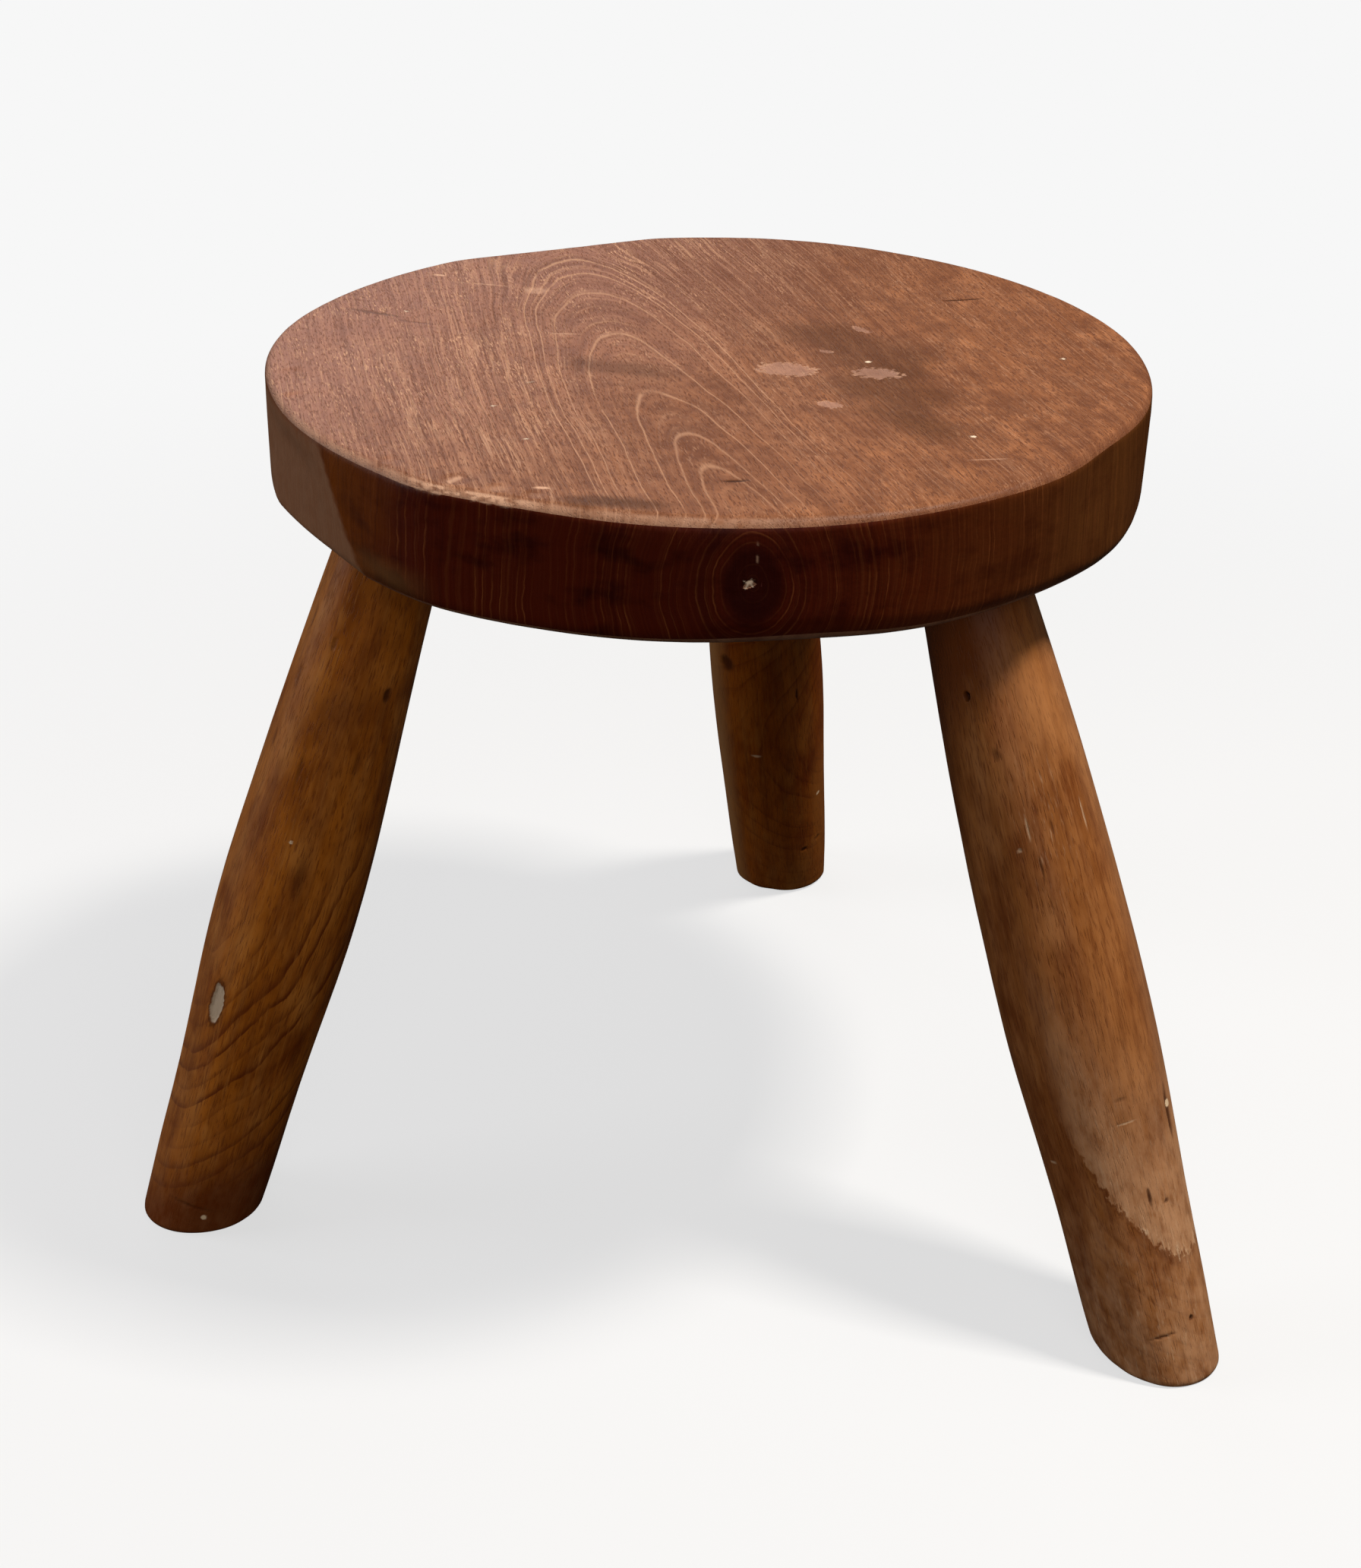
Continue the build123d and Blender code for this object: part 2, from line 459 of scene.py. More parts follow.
def leg_mesh(axis):
    x, y = axis.circle()
    out = x + y
    least, extra, worn_side = FOOT_WEAR[axis.name]
    bearing = np.arctan2(out[:, 1], out[:, 0])
    edge = least + extra * np.clip(np.cos(bearing - worn_side), 0, 1) ** 2
    foot = np.full(AROUND_LEG, -axis.length)
    for _ in range(4):  # closes in on where the slanting leg meets the floor
        foot = -axis.length - axis.radius(foot) * out[:, 2] / axis.up[2]
    closer = np.linspace(0, 1, FOOT_RINGS)[:-1] ** 1.5 * FOOT_SHARE
    rings = []
    for share in [*closer, *np.linspace(FOOT_SHARE, 1, SHAFT_RINGS)]:
        z = foot + (-NECK - foot) * share
        r = axis.radius(z)
        height = (axis.at(z[:, None]) + out * r[:, None])[:, 2]
        r = r - rounded_pull(height, edge)
        rings.append(axis.at(z[:, None]) + out * r[:, None])
    rings[0][:, 2] = 0
    sole = rings[0].mean(axis=0)
    tenon = tenon_rings(axis, -NECK, 0, 0)[1:]
    end = axis.at(TENON_LENGTH)
    sole_rings = cap_rings(rings[0], sole, SOLE_SHARES)
    end_rings = cap_rings(tenon[-1], end, TENON_END_SHARES)
    return ring_mesh([*sole_rings, *rings, *tenon, *end_rings], sole, end)


def shaved_relief(axis, seed):
    """Long flats left by the drawknife, slow hollows along the leg, and the dents of use."""
    rng = np.random.default_rng(seed)
    flat_angles = (np.arange(FLATS) + rng.uniform(-FLAT_UNEVEN, FLAT_UNEVEN, FLATS)) * 2 * pi / FLATS
    flat_depths = rng.uniform(*FLAT_DEPTHS, FLATS) * MM

    def relief(points):
        r, angle, z = axis.local(points)
        none = z * 0
        twist = FLAT_TWIST * wander(np.column_stack([z, none, none]), TWIST_CELL, seed)
        d = np.full(len(points), FLATS_MEAN)
        for k in range(FLATS):
            off = (angle - flat_angles[k] - twist + pi) % (2 * pi) - pi
            strength = 0.5 + 0.5 * wander(np.column_stack([z, none + k, none]), FLAT_FADING, seed + 5)
            d -= flat_depths[k] * strength * np.exp(-((off / FLAT_WIDTH) ** 2))
        long_way = np.column_stack([r * np.cos(angle), r * np.sin(angle), z])
        for step, (height, cell) in enumerate(LEG_UNEVEN, start=1):
            d += height * MM * wander(long_way, cell, seed + step)
        for mark in axis.marks:
            floor = 0.75 if mark.kind == "bare" else 0.3
            d -= mark.depth * MM * smooth_step(1.1, floor, mark_share(axis, points, seed, mark))
        return d * smooth_step(-NECK, -NECK - OUT_OF_MORTISE, z) * smooth_step(*ON_SOLE, points[:, 2])

    return relief


def mark_share(axis, points, seed, mark):
    """0 in the middle of a leg's mark and 1 on its slightly ragged rim."""
    r, angle, z = axis.local(points)
    arc = r * ((angle - radians(mark.degrees) + pi) % (2 * pi) - pi)
    along = z + axis.length * mark.share
    far = np.hypot(arc / (mark.half_round * MM), along / (mark.half_long * MM))
    return far + 0.12 * wander(points, 0.002, seed + 4) + 0.10 * wander(points, 0.0009, seed + 6)


def paint_leg(ob, axis, seed):
    points = points_of(ob)
    paint = Paint(ob, "groove", "bare", "pale")
    for mark in axis.marks:
        far = mark_share(axis, points, seed, mark)
        deep = mark.kind == "dark" and mark.depth >= DEEP
        layer, strength, outside, inside = MARK_PAINT["hole" if deep else mark.kind]
        paint.lay(layer, strength * smooth_step(outside, inside, far))
        if mark.kind == "bare":
            paint.lay("groove", BARE_RIM * smooth_step(0.25, 0.05, np.abs(far - 1.1)))
    paint.store()


def make_leg(name, seed):
    axis = LegAxis(name)
    fine = []
    for mark in axis.marks:
        times = 1 if mark.kind == "dark" and mark.half_round > 1.2 else 2
        fine.append((axis.surface(mark), max(mark.half_round, mark.half_long) * 1.2 * MM, times))
    ob = skin("leg_" + name + "_shaved", *leg_mesh(axis), shaved_relief(axis, seed), fine)
    cut_away(ob, [split_cutter(axis)])
    paint_leg(ob, axis, seed)
    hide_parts("leg_" + name)
    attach(ob, WHOLE_STOOL)
    return ob, axis


# ---------------- seat

AROUND_SEAT = 420
FLAT_SPOT = 125
FLAT_SPOT_REACH = 60  # degrees to each side
FLAT_SPOT_DEPTH = 6 * MM
FLAT_SPOT_BLEND = 2 * MM
DISH_RADIUS = 151 * MM
DISH_DEPTH = 4 * MM
TOP_ROUNDING = 4 * MM
BOTTOM_ROUNDING = 9 * MM
TOP_SHARES = np.linspace(0.01, 1, 66)
TOP_EDGE_TURNS = np.radians(np.linspace(0, 90, 9))[1:]
SIDE_SHARES = np.linspace(0, 1, 16)[1:]
BOTTOM_EDGE_TURNS = np.radians(np.linspace(0, 90, 11))[1:]
UNDER_SHARES = np.linspace(1, 0.03, 14)[1:]
RIM_SWELLS = (  # bearing and half width in degrees, and how far the rim stands out at its top and its bottom
    (80, 20, 2.4 * MM, 1.5 * MM),
    (183, 20, 2.3 * MM, 2.0 * MM),
    (-55, 16, 2.0 * MM, 1.4 * MM),
    (-21, 9, -2.6 * MM, 0.6 * MM),
    (-100, 10, -1.4 * MM, -0.8 * MM),
    (-115, 6, 1.6 * MM, 0.8 * MM),
    (2, 16, -0.3 * MM, -1.3 * MM),
)
BOTTOM_EDGE_SWELLS = (  # bearing and half width in degrees, and how much rounder the bottom edge is there
    (250, 20, -3.4 * MM),
    (292, 11, 3.5 * MM),
    (213, 14, -3.6 * MM),
    (347, 15, -2.2 * MM),
)
SEAT_UNEVEN = ((0.35, 0.06, 41), (0.10, 0.018, 42))  # height in mm, size in metres, seed
SIDE_UNEVEN = (0.30, (0.02, 0.02, 0.08), 43)
FINE_UNEVEN = (0.03, 0.005, 44)
FACET_BEARING = 211  # of the sawn facet's middle at the top, in degrees
FACET_HALF_WIDTH = 13.5  # degrees
FACET_DEPTH = 2.6 * MM
FACET_LEAN = 0.21  # degrees its middle moves round for each mm down the side
PITH_ON_SIDE = np.array([41.0, -155.0, -21.6])  # mm from the middle of the top
PITH_SIDE_WAY = (sin(radians(75.3)), cos(radians(75.3)))  # along the rim where the pith comes out
STAR_RAYS = ((15, (1.2, 0.65)), (60, (2.0, 0.32)), (-35, (1.7, 0.3)))  # turns, and half sizes in mm
CRACK = ((0, -10.5), (0.20, 7.0), 3)  # the thin check above it: centre and half sizes in mm, and turn
CRACK_ASIDE = 2.5
WORN_GLINT_EDGE, WORN_GLINT_HALF_WIDTH = -109, 11  # degrees: the rubbed stretch of the top edge, where pale dashes are painted on as glints, a painted highlight
WORN_GLINT_STEPS = 6
RIM_CHIPS = (  # bites out of the top edge: x and y in mm, half size in mm and depth in mm
    (-58, -142, 5.0, 0.7),
    (-43, -146.5, 4.0, 0.6),
    (-30, -149.5, 3.5, 0.6),
    (-83, -130, 4.0, 0.5),
    (-143, -52, 5.0, 0.6),
    (-134, -76, 4.0, 0.6),
    (72, -139, 3.0, 0.5),
)
SCUFF_DEPTH = 0.16 * MM
SCRATCH_DEPTH = 0.45 * MM
STAR_DEPTH = 1.6 * MM
OUT_OF_REACH = 100  # added to a share of the front's marks at the back of the seat


def seat_outline(degrees, share=0.0):
    """The rim's radius at each bearing, from its top edge, share 0, to its bottom edge, share 1."""
    turn = np.radians(np.clip(turn_between(degrees, FLAT_SPOT), -FLAT_SPOT_REACH, FLAT_SPOT_REACH))
    flat = (SEAT_RADIUS - FLAT_SPOT_DEPTH) / np.cos(turn)
    h = np.clip(0.5 + (SEAT_RADIUS - flat) / (2 * FLAT_SPOT_BLEND), 0, 1)
    outline = SEAT_RADIUS * (1 - h) + flat * h - FLAT_SPOT_BLEND * h * (1 - h)
    for bearing, half_width, at_top, at_bottom in RIM_SWELLS:
        height = at_top + (at_bottom - at_top) * share
        outline = outline + height * hump(degrees, bearing, half_width)
    return outline


def seat_mesh():
    degrees = np.arange(AROUND_SEAT) * 360 / AROUND_SEAT
    out = np.column_stack([np.cos(np.radians(degrees)), np.sin(np.radians(degrees))])
    top_rim = seat_outline(degrees)
    low_rim = seat_outline(degrees, 1)
    on_rim = np.column_stack([out * SEAT_RADIUS, np.zeros(AROUND_SEAT)])
    top_edge = TOP_ROUNDING * (1 + 0.3 * wander(on_rim, 0.05, 31))
    low_edge = BOTTOM_ROUNDING * (1 + 0.1 * wander(on_rim, 0.08, 32))
    for bearing, half_width, rounder in BOTTOM_EDGE_SWELLS:
        low_edge = low_edge + rounder * hump(degrees, bearing, half_width)
    top = SEAT_TOP - top_edge
    low = SEAT_UNDERSIDE + low_edge
    section = []
    for share in TOP_SHARES:
        r = (top_rim - top_edge) * share
        section.append((r, SEAT_TOP - DISH_DEPTH * np.clip(1 - (r / DISH_RADIUS) ** 2, 0, 1)))
    for a in TOP_EDGE_TURNS:
        section.append((top_rim - top_edge * (1 - sin(a)), SEAT_TOP - top_edge * (1 - cos(a))))
    for share in SIDE_SHARES:
        section.append((top_rim + (low_rim - top_rim) * share, top + (low - top) * share))
    for a in BOTTOM_EDGE_TURNS:
        section.append((low_rim - low_edge * (1 - cos(a)), SEAT_UNDERSIDE + low_edge * (1 - sin(a))))
    for share in UNDER_SHARES:
        section.append(((low_rim - low_edge) * share, np.full(AROUND_SEAT, SEAT_UNDERSIDE)))
    rings = [SEAT_CENTRE + np.column_stack([out * r[:, None], z]) for r, z in section]
    first = np.array([*SEAT_CENTRE[:2], SEAT_TOP - DISH_DEPTH])
    last = np.array([*SEAT_CENTRE[:2], SEAT_UNDERSIDE])
    return ring_mesh(rings, first, last)


class SeatPlaces:
    """Points as mm from the middle of the top, and the raggedness of small outlines there."""

    def __init__(self, points):
        self.x, self.y, self.z = (points - TOP_CENTRE).T / MM
        self.out = np.hypot(self.x, self.y)
        self.bearing = np.degrees(np.arctan2(self.y, self.x))
        self.ragged = 0.13 * wander(points, 0.0022, 45) + 0.11 * wander(points, 0.0009, 46)
        self.behind = OUT_OF_REACH * (self.y > 0)

    def oval(self, centre, reach, turn):
        """0 at an oval's centre on the top and 1 on its rim."""
        return oval_share(self.x, self.y, centre, reach, turn)

    def facet(self):
        """-1 and 1 at the ends of the sawn facet, 0 in its middle."""
        return turn_between(self.bearing, FACET_BEARING - FACET_LEAN * self.z) / FACET_HALF_WIDTH


def oval_share(x, y, centre, reach, turn):
    """0 at an oval's centre and 1 on its rim."""
    c, s = cos(radians(turn)), sin(radians(turn))
    dx, dy = x - centre[0], y - centre[1]
    return np.hypot((dx * c + dy * s) / reach[0], (dy * c - dx * s) / reach[1])


def seat_relief(points):
    """Slow hand-worked unevenness, the sawn facet, and the dents and chips of use."""
    at = SeatPlaces(points)
    on_side = smooth_step(-3, -8, at.z) * smooth_step(-47, -40, at.z)
    d = np.zeros(len(points))
    for height, cell, seed in SEAT_UNEVEN:
        d += height * MM * wander(points, cell, seed)
    d += SIDE_UNEVEN[0] * MM * on_side * wander(points, *SIDE_UNEVEN[1:])
    d += FINE_UNEVEN[0] * MM * wander(points, *FINE_UNEVEN[1:])
    by_rim = smooth_step(137, 148, at.out)
    d -= FACET_DEPTH * np.clip(1 - at.facet() ** 2, 0, 1) * smooth_step(-3, -16, at.z) * by_rim
    on_top = smooth_step(-8, -5, at.z)
    for scuff in SCUFFS:
        d -= SCUFF_DEPTH * on_top * smooth_step(1.06, 0.94, at.oval(*scuff) + 2.0 * at.ragged)
    for centre, half_long, half_wide, turn, dark in SCRATCHES:
        if dark > 0:
            far = at.oval(centre, (half_long, half_wide), turn)
            d -= SCRATCH_DEPTH * dark * on_top * smooth_step(1.3, 0.2, far)
    for x, y, half, depth in RIM_CHIPS:
        far = np.sqrt((at.x - x) ** 2 + (at.y - y) ** 2 + (3 * np.minimum(at.z + 1, 0)) ** 2) / half
        d -= depth * MM * smooth_step(1.1, 0.5, far + at.ragged)
    side = (at.x - PITH_ON_SIDE[0]) * PITH_SIDE_WAY[0] + (at.y - PITH_ON_SIDE[1]) * PITH_SIDE_WAY[1]
    star = oval_share(side, at.z, (0, PITH_ON_SIDE[2]), (2.4, 1.2), 25) + at.behind
    return d - STAR_DEPTH * smooth_step(1.2, 0.2, star + at.ragged)


def paint_seat(ob):
    points = points_of(ob)
    at = SeatPlaces(points)
    slow = wander(points, 0.011, 47)
    paint = Paint(ob, "stain", "flake", "flake_rim", "groove", "pale", "speck", "facet")
    stain = paint.shares["stain"]
    for centre, reach, turn, strength in STAINS:
        far = at.oval(centre, reach, turn) + 0.22 * slow
        stain = 1 - (1 - stain) * (1 - strength * smooth_step(1.3, 0.35, far))
    paint.shares["stain"] = stain
    patchy = smooth_step(-0.5, 0.4, wander(points, 0.003, 49))
    for scuff in SCUFFS:
        far = at.oval(*scuff) + 2.0 * at.ragged
        paint.lay("flake", smooth_step(1.06, 0.94, far))
        paint.lay("flake_rim", patchy * smooth_step(0.11, 0.02, np.abs(far - 1)))
    for centre, half_long, half_wide, turn, dark in SCRATCHES:
        far = at.oval(centre, (half_long, half_wide), turn) + 0.6 * at.ragged
        paint.lay("groove" if dark > 0 else "pale", abs(dark) * smooth_step(1.3, 0.5, far))
    for centre, radius in SPECKS:
        far = at.oval(centre, (radius, radius), 0) + 0.4 * at.ragged
        paint.lay("stain", 0.6 * smooth_step(2.2, 1.3, far))
        paint.lay("speck", smooth_step(1.2, 0.8, far))

    # Pale dashes along the rubbed stretch of the top edge: partly worn wood, partly painted glints, a painted
    # highlight.
    off = turn_between(at.bearing, WORN_GLINT_EDGE)
    worn = smooth_step(1.2, 0.2, np.abs(off) / WORN_GLINT_HALF_WIDTH)
    by_edge = smooth_step(-3.4, -2.4, at.z) * smooth_step(-0.4, -0.9, at.z) * smooth_step(140, 146, at.out)
    round_rim = np.column_stack([np.radians(off) * SEAT_RADIUS, at.z * MM, np.zeros(len(points))])
    dashes = wander(round_rim, (0.0035, 0.0009, 1), 50) + 0.5 * wander(round_rim, (0.0014, 0.0005, 1), 51)
    paint.lay("pale", by_edge * worn * smooth_step(-0.2, 0.35, dashes + slow * 0.3))

    side = points * [1, 0, 1] - TOP_CENTRE * [1, 0, 1] - PITH_ON_SIDE * [1, 0, 1] * MM
    for turn, reach in STAR_RAYS:
        ray = oval_share(side[:, 0] / MM, side[:, 2] / MM, (0, 0), reach, turn) + at.behind
        paint.lay("speck", smooth_step(1.25, 0.7, ray + at.ragged))
    crack = oval_share(at.x - PITH_ON_SIDE[0] - CRACK_ASIDE, at.z, *CRACK) + at.behind + at.ragged
    broken = smooth_step(-0.1, 0.2, wander(points, (1, 1, 0.0016), 48))
    paint.lay("pale", 0.38 * smooth_step(1.4, 0.6, crack) * broken)
    # The sawn facet, which is painted greyer: partly a greyed surface and partly a painted sheen.
    off = at.facet() * FACET_HALF_WIDTH + 0.5 * slow
    paint.lay("facet", smooth_step(13.9, 13.1, off) * smooth_step(-66, -30, off) * smooth_step(-1, -5, at.z))
    paint.store()


def make_seat(axes):
    pith = TOP_CENTRE + PITH_ON_SIDE * MM
    fine = [(pith, 4 * MM, 3), (pith + np.array([CRACK_ASIDE, 0, 11]) * MM, 8 * MM, 2)]

    def spot(x, y, z, reach, times):
        fine.append((TOP_CENTRE + np.array([x, y, z]) * MM, reach * MM, times))

    for x, y, half, _ in RIM_CHIPS:
        spot(x, y, 0, 1.6 * half, 1)
    for step in range(-WORN_GLINT_STEPS - 1, WORN_GLINT_STEPS + 2):
        bearing = radians(WORN_GLINT_EDGE + step * WORN_GLINT_HALF_WIDTH / WORN_GLINT_STEPS)
        fine.append((TOP_CENTRE + SEAT_RADIUS * np.array([cos(bearing), sin(bearing), 0]), 4 * MM, 1))
    for centre, half_long, *_ in SCRATCHES:
        spot(*centre, -2, 1.1 * half_long, 2)
    for centre, reach, _ in SCUFFS:
        spot(*centre, -3, 1.25 * reach[0], 2)
    for centre, radius in SPECKS:
        spot(*centre, -2, 1.8 * radius, 2)
    ob = skin("seat_slab", *seat_mesh(), seat_relief, fine)
    cut_away(ob, [mortise_cutter(axis) for axis in axes])
    paint_seat(ob)
    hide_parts("seat")
    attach(ob, WHOLE_STOOL)
    return ob


# ---------------- shader graphs

NOISE_SPREAD = 1.3  # a noise texture's 0 to 1 is drawn out to about -1 to 1
SEED_STEP = 17.3  # how far apart the noises of one material are read
MIX_SHARE, MIX_BELOW, MIX_ABOVE = 0, 6, 7  # a Mix node's inputs for colours
UNEVEN_OVER, UNEVEN_BY = 2.6, 0.5  # in how many rings their width changes, and by what share of a ring


class Field:
    """A number that varies over a surface: a shader socket with arithmetic."""

    def __init__(self, graph, socket):
        self.graph = graph
        self.socket = socket

    def __add__(self, other):
        return self.graph.math("ADD", self, other)

    def __sub__(self, other):
        return self.graph.math("SUBTRACT", self, other)

    def __rsub__(self, other):
        return self.graph.math("SUBTRACT", other, self)

    def __mul__(self, other):
        return self.graph.math("MULTIPLY", self, other)

    __radd__ = __add__
    __rmul__ = __mul__

    def over(self, low, high):
        """0 below low, 1 above high and smooth between. With high under low it is the other way round."""
        rising, falling = float(high > low), float(high < low)
        ends = (min(low, high), max(low, high), falling, rising)
        node = self.graph.node("MapRange", self, *ends, interpolation_type="SMOOTHSTEP")
        return Field(self.graph, node.outputs[0])

    def near(self, centre, reach):
        """1 at centre, falling smoothly to 0 at reach on both sides."""
        return self.graph.math("ABSOLUTE", self - centre).over(reach, 0)


class Graph:
    """A material's nodes. Every length in it is in millimetres, from a chosen origin."""

    def __init__(self, name, origin):
        self.material = bpy.data.materials.new(name)
        self.material.use_nodes = True
        self.nodes = self.material.node_tree.nodes
        self.links = self.material.node_tree.links
        self.shader = self.nodes["Principled BSDF"]
        self.seed = 0
        self.colour = None
        place = self.node("TexCoord").outputs["Object"]
        self.at = self.vector("SCALE", self.vector("SUBTRACT", place, tuple(origin)), scale=1 / MM)
        self.normal = self.node("NewGeometry").outputs["Normal"]

    def feed(self, socket, value):
        """Gives a socket a field, another socket, a number, or a colour as red, green and blue."""
        if isinstance(value, Field):
            value = value.socket
        if isinstance(value, bpy.types.NodeSocket):
            self.links.new(value, socket)
        else:
            socket.default_value = (*value, 1.0) if socket.type == "RGBA" else value

    def node(self, kind, *values, **settings):
        """A new node with its settings, and values fed to its first inputs in their order."""
        node = self.nodes.new("ShaderNode" + kind)
        for name, setting in settings.items():
            setattr(node, name, setting)
        for socket, value in zip(node.inputs, values):
            self.feed(socket, value)
        return node

    def math(self, operation, *values):
        return Field(self, self.node("Math", *values, operation=operation).outputs[0])

    def vector(self, operation, *values, scale=None):
        node = self.node("VectorMath", *values, operation=operation)
        if scale is not None:
            node.inputs["Scale"].default_value = scale
        return node.outputs["Value" if operation == "DOT_PRODUCT" else "Vector"]

    def along(self, direction, start=(0, 0, 0)):
        """How far a point lies along a direction from start."""
        offset = self.vector("SUBTRACT", self.at, tuple(start))
        return Field(self, self.vector("DOT_PRODUCT", offset, tuple(direction)))

    def upward(self):
        """1 where the surface faces up, 0 where it is upright, -1 where it faces down."""
        return Field(self, self.vector("DOT_PRODUCT", self.normal, (0, 0, 1)))

    def join(self, *values):
        return self.node("CombineXYZ", *values).outputs[0]

    def noise_node(self, at, cell, detail=1.0, rough=0.5):
        """A noise texture over the vector at, whose size along each axis is cell."""
        self.seed += 1
        scale, shift = [1 / size for size in cell], [SEED_STEP * self.seed] * 3
        node = self.node("TexNoise", self.vector("MULTIPLY_ADD", at, scale, shift))
        for name, value in (("Scale", 1.0), ("Detail", detail), ("Roughness", rough)):
            node.inputs[name].default_value = value
        return node

    def spread(self, socket, reach=1):
        """A texture's 0 to 1 as about -reach to reach."""
        return self.math("MULTIPLY_ADD", socket, 2 * NOISE_SPREAD * reach, -NOISE_SPREAD * reach)

    def noise(self, at, cell, detail=1.0, rough=0.5):
        """A smooth noise, about -1 to 1."""
        return self.spread(self.noise_node(at, cell, detail, rough).outputs[0])

    def push(self, at, cell, amount):
        """Two unrelated smooth noises, about -amount to amount."""
        split = self.node("SeparateColor", self.noise_node(at, cell).outputs["Color"])
        return [self.spread(out, amount) for out in split.outputs[:2]]

    def chance(self, value):
        """One random number from 0 to 1 for each whole number."""
        node = self.node("TexWhiteNoise", noise_dimensions="1D")
        self.feed(node.inputs["W"], value)
        return Field(self, node.outputs["Value"])

    def painted(self, name):
        """A share painted on the mesh's points."""
        return Field(self, self.node("Attribute", attribute_name=name).outputs["Fac"])

    def tint(self, share, below, above):
        node = self.node("Mix", data_type="RGBA")
        for index, value in ((MIX_SHARE, share), (MIX_BELOW, below), (MIX_ABOVE, above)):
            self.feed(node.inputs[index], value)
        return node.outputs[2]

    def coat(self, colour, share):
        """Lays a colour over the ones below it, by share."""
        self.colour = self.tint(share, self.colour, colour)

    def finish(self, roughness, height, depth, shine):
        """Feeds the shader. height is in shares of depth, which is in metres."""
        self.feed(self.shader.inputs["Base Color"], self.colour)
        self.feed(self.shader.inputs["Roughness"], roughness)
        self.shader.inputs["Specular IOR Level"].default_value = shine
        bump = self.node("Bump")
        bump.inputs["Distance"].default_value = depth
        self.feed(bump.inputs["Height"], height)
        self.links.new(bump.outputs["Normal"], self.shader.inputs["Normal"])
        return self.material


class Rings:
    """Growth rings round a pith line, seen on whatever surface cuts them.

    fibres is a place along, beside and above the pith; flow is a place along the pith and out from it. above
    is the way nearest to upwards. warp says how the rings stray: by how many mm, over how many mm across, and
    how much longer that is along. faintest lifts the weakest lines or, below 0, hides them. squeeze is the
    rings' width as a share of their height. ends closes them over the pith's two ends, by how much each mm
    along it counts behind and ahead.
    """

    def __init__(self, g, pith, way, spacing, warp, faintest=0.0, squeeze=1.0, ends=None, upwards=(0, 0, 1)):
        direction = np.array(way, float) / np.linalg.norm(way)
        side = np.cross(upwards, direction)
        side /= np.linalg.norm(side)
        u = g.along(direction, pith)
        v = g.along(side, pith)
        w = g.along(np.cross(direction, side), pith)
        self.fibres = g.join(u, v, w)
        self.side = v
        for amount, cell, stretch in warp:
            aside, above = g.push(self.fibres, (cell * stretch, cell, cell), amount)
            v = v + aside
            w = w + above
        v = v * (1 / squeeze)
        total = v * v + w * w
        if ends is not None:
            end = g.math("MINIMUM", u, 0.0) * ends[0] + g.math("MAXIMUM", u, 0.0) * ends[1]
            total = total + end * end
        self.radius = g.math("SQRT", total)
        self.flow = g.join(u, self.radius, 0.0)
        uneven = g.noise(g.join(self.radius, 0.0, 0.0), (spacing * UNEVEN_OVER, 1.0, 1.0), 2.0)
        phase = (self.radius + uneven * (spacing * UNEVEN_BY)) * (1 / spacing)
        number = g.math("FLOOR", phase)
        self.age = phase - number
        self.luck = g.chance(number + 0.5).over(-faintest, 1)
        self.next_luck = g.chance(number + 1.5).over(-faintest, 1)
        self.spacing = spacing

    def line(self, inner, outer):
        """Each ring's edge, as strong as its luck, fading over inner mm inside it and outer mm outside."""
        before = self.age.over(1 - inner / self.spacing, 1) * self.next_luck
        after = self.age.over(outer / self.spacing, 0) * self.luck
        return before + after


# ---------------- seat wood

TOP_DEEP = (0.15, 0.052, 0.023)
TOP_MID = (0.3, 0.125, 0.062)
TOP_WARM = (0.27, 0.1, 0.04)
TOP_PALE = (0.56, 0.3, 0.175)
TOP_BLOOM_AND_SHEEN = (0.385, 0.184, 0.138)
TOP_STAIN = (0.078, 0.027, 0.01)
TOP_EMBER = (0.43, 0.17, 0.07)
BARE_FLAKE = (0.46, 0.255, 0.185)
PALE_FLAKE_AND_GLINT = (0.72, 0.42, 0.27)
PAINT_SPECK = (0.85, 0.66, 0.48)
GROOVE = (0.035, 0.011, 0.005)
RIM_WORN_AND_HIGHLIGHT = (0.42, 0.225, 0.14)
SIDE_DARK = (0.07, 0.007, 0.001)
SIDE_LINE = (0.23, 0.068, 0.018)
SIDE_BROWN = (0.16, 0.036, 0.001)
SIDE_OLIVE = (0.11, 0.046, 0.011)
SIDE_GREY_AND_SHEEN = (0.265, 0.13, 0.068)
SIDE_LOW_EDGE_HIGHLIGHT = (0.23, 0.105, 0.03)
SIDE_HEART = (0.022, 0.001, 0.0002)
UNDER_WOOD = (0.29, 0.132, 0.066)

PITH_BEARING = radians(114.6)
PITH_FALL = 0.155  # how fast the pith dives below the top as it runs back
PITH_WAY = (cos(PITH_BEARING), sin(PITH_BEARING), -PITH_FALL)
SEAT_WARP = ((3.0, 60.0, 2.0), (0.7, 16.0, 2.2), (0.14, 4.0, 2.5))
SIDE_WARP = ((3.5, 60.0, 2.0), (0.9, 14.0, 2.2), (0.25, 3.5, 2.5))
SEAT_RING_SPACING = 3.6
PRESSED = 0.7  # the rings' width as a share of their height
SEAT_BUMP = 0.16 * MM
TOP_SHINE, SIDE_SHINE, UNDER_SHINE = 0.12, 0.08, 0.3
FACES_UP, FACES_DOWN = 0.4, -0.6  # upward parts of the normals of the top and of the underside
RIM_CLEAR, TOP_CLEAR = 20 * MM, 10 * MM  # deeper inside than this is a mortise
SIDE_FAINTEST = -0.3  # below 0, so that the weakest rings don't show at all
ARCH_HALF_WIDTH = 0.45  # mm
BOLD_ARCHES = ((66.5, 0.9), (62.5, 0.8), (57.0, 0.7), (47.0, 0.8), (37.5, 0.8), (31.0, 0.6), (27.5, 0.6))


def seat_rings_in(g, warp=SEAT_WARP, faintest=0.0):
    return Rings(g, PITH_ON_SIDE, PITH_WAY, SEAT_RING_SPACING, warp, faintest, PRESSED)


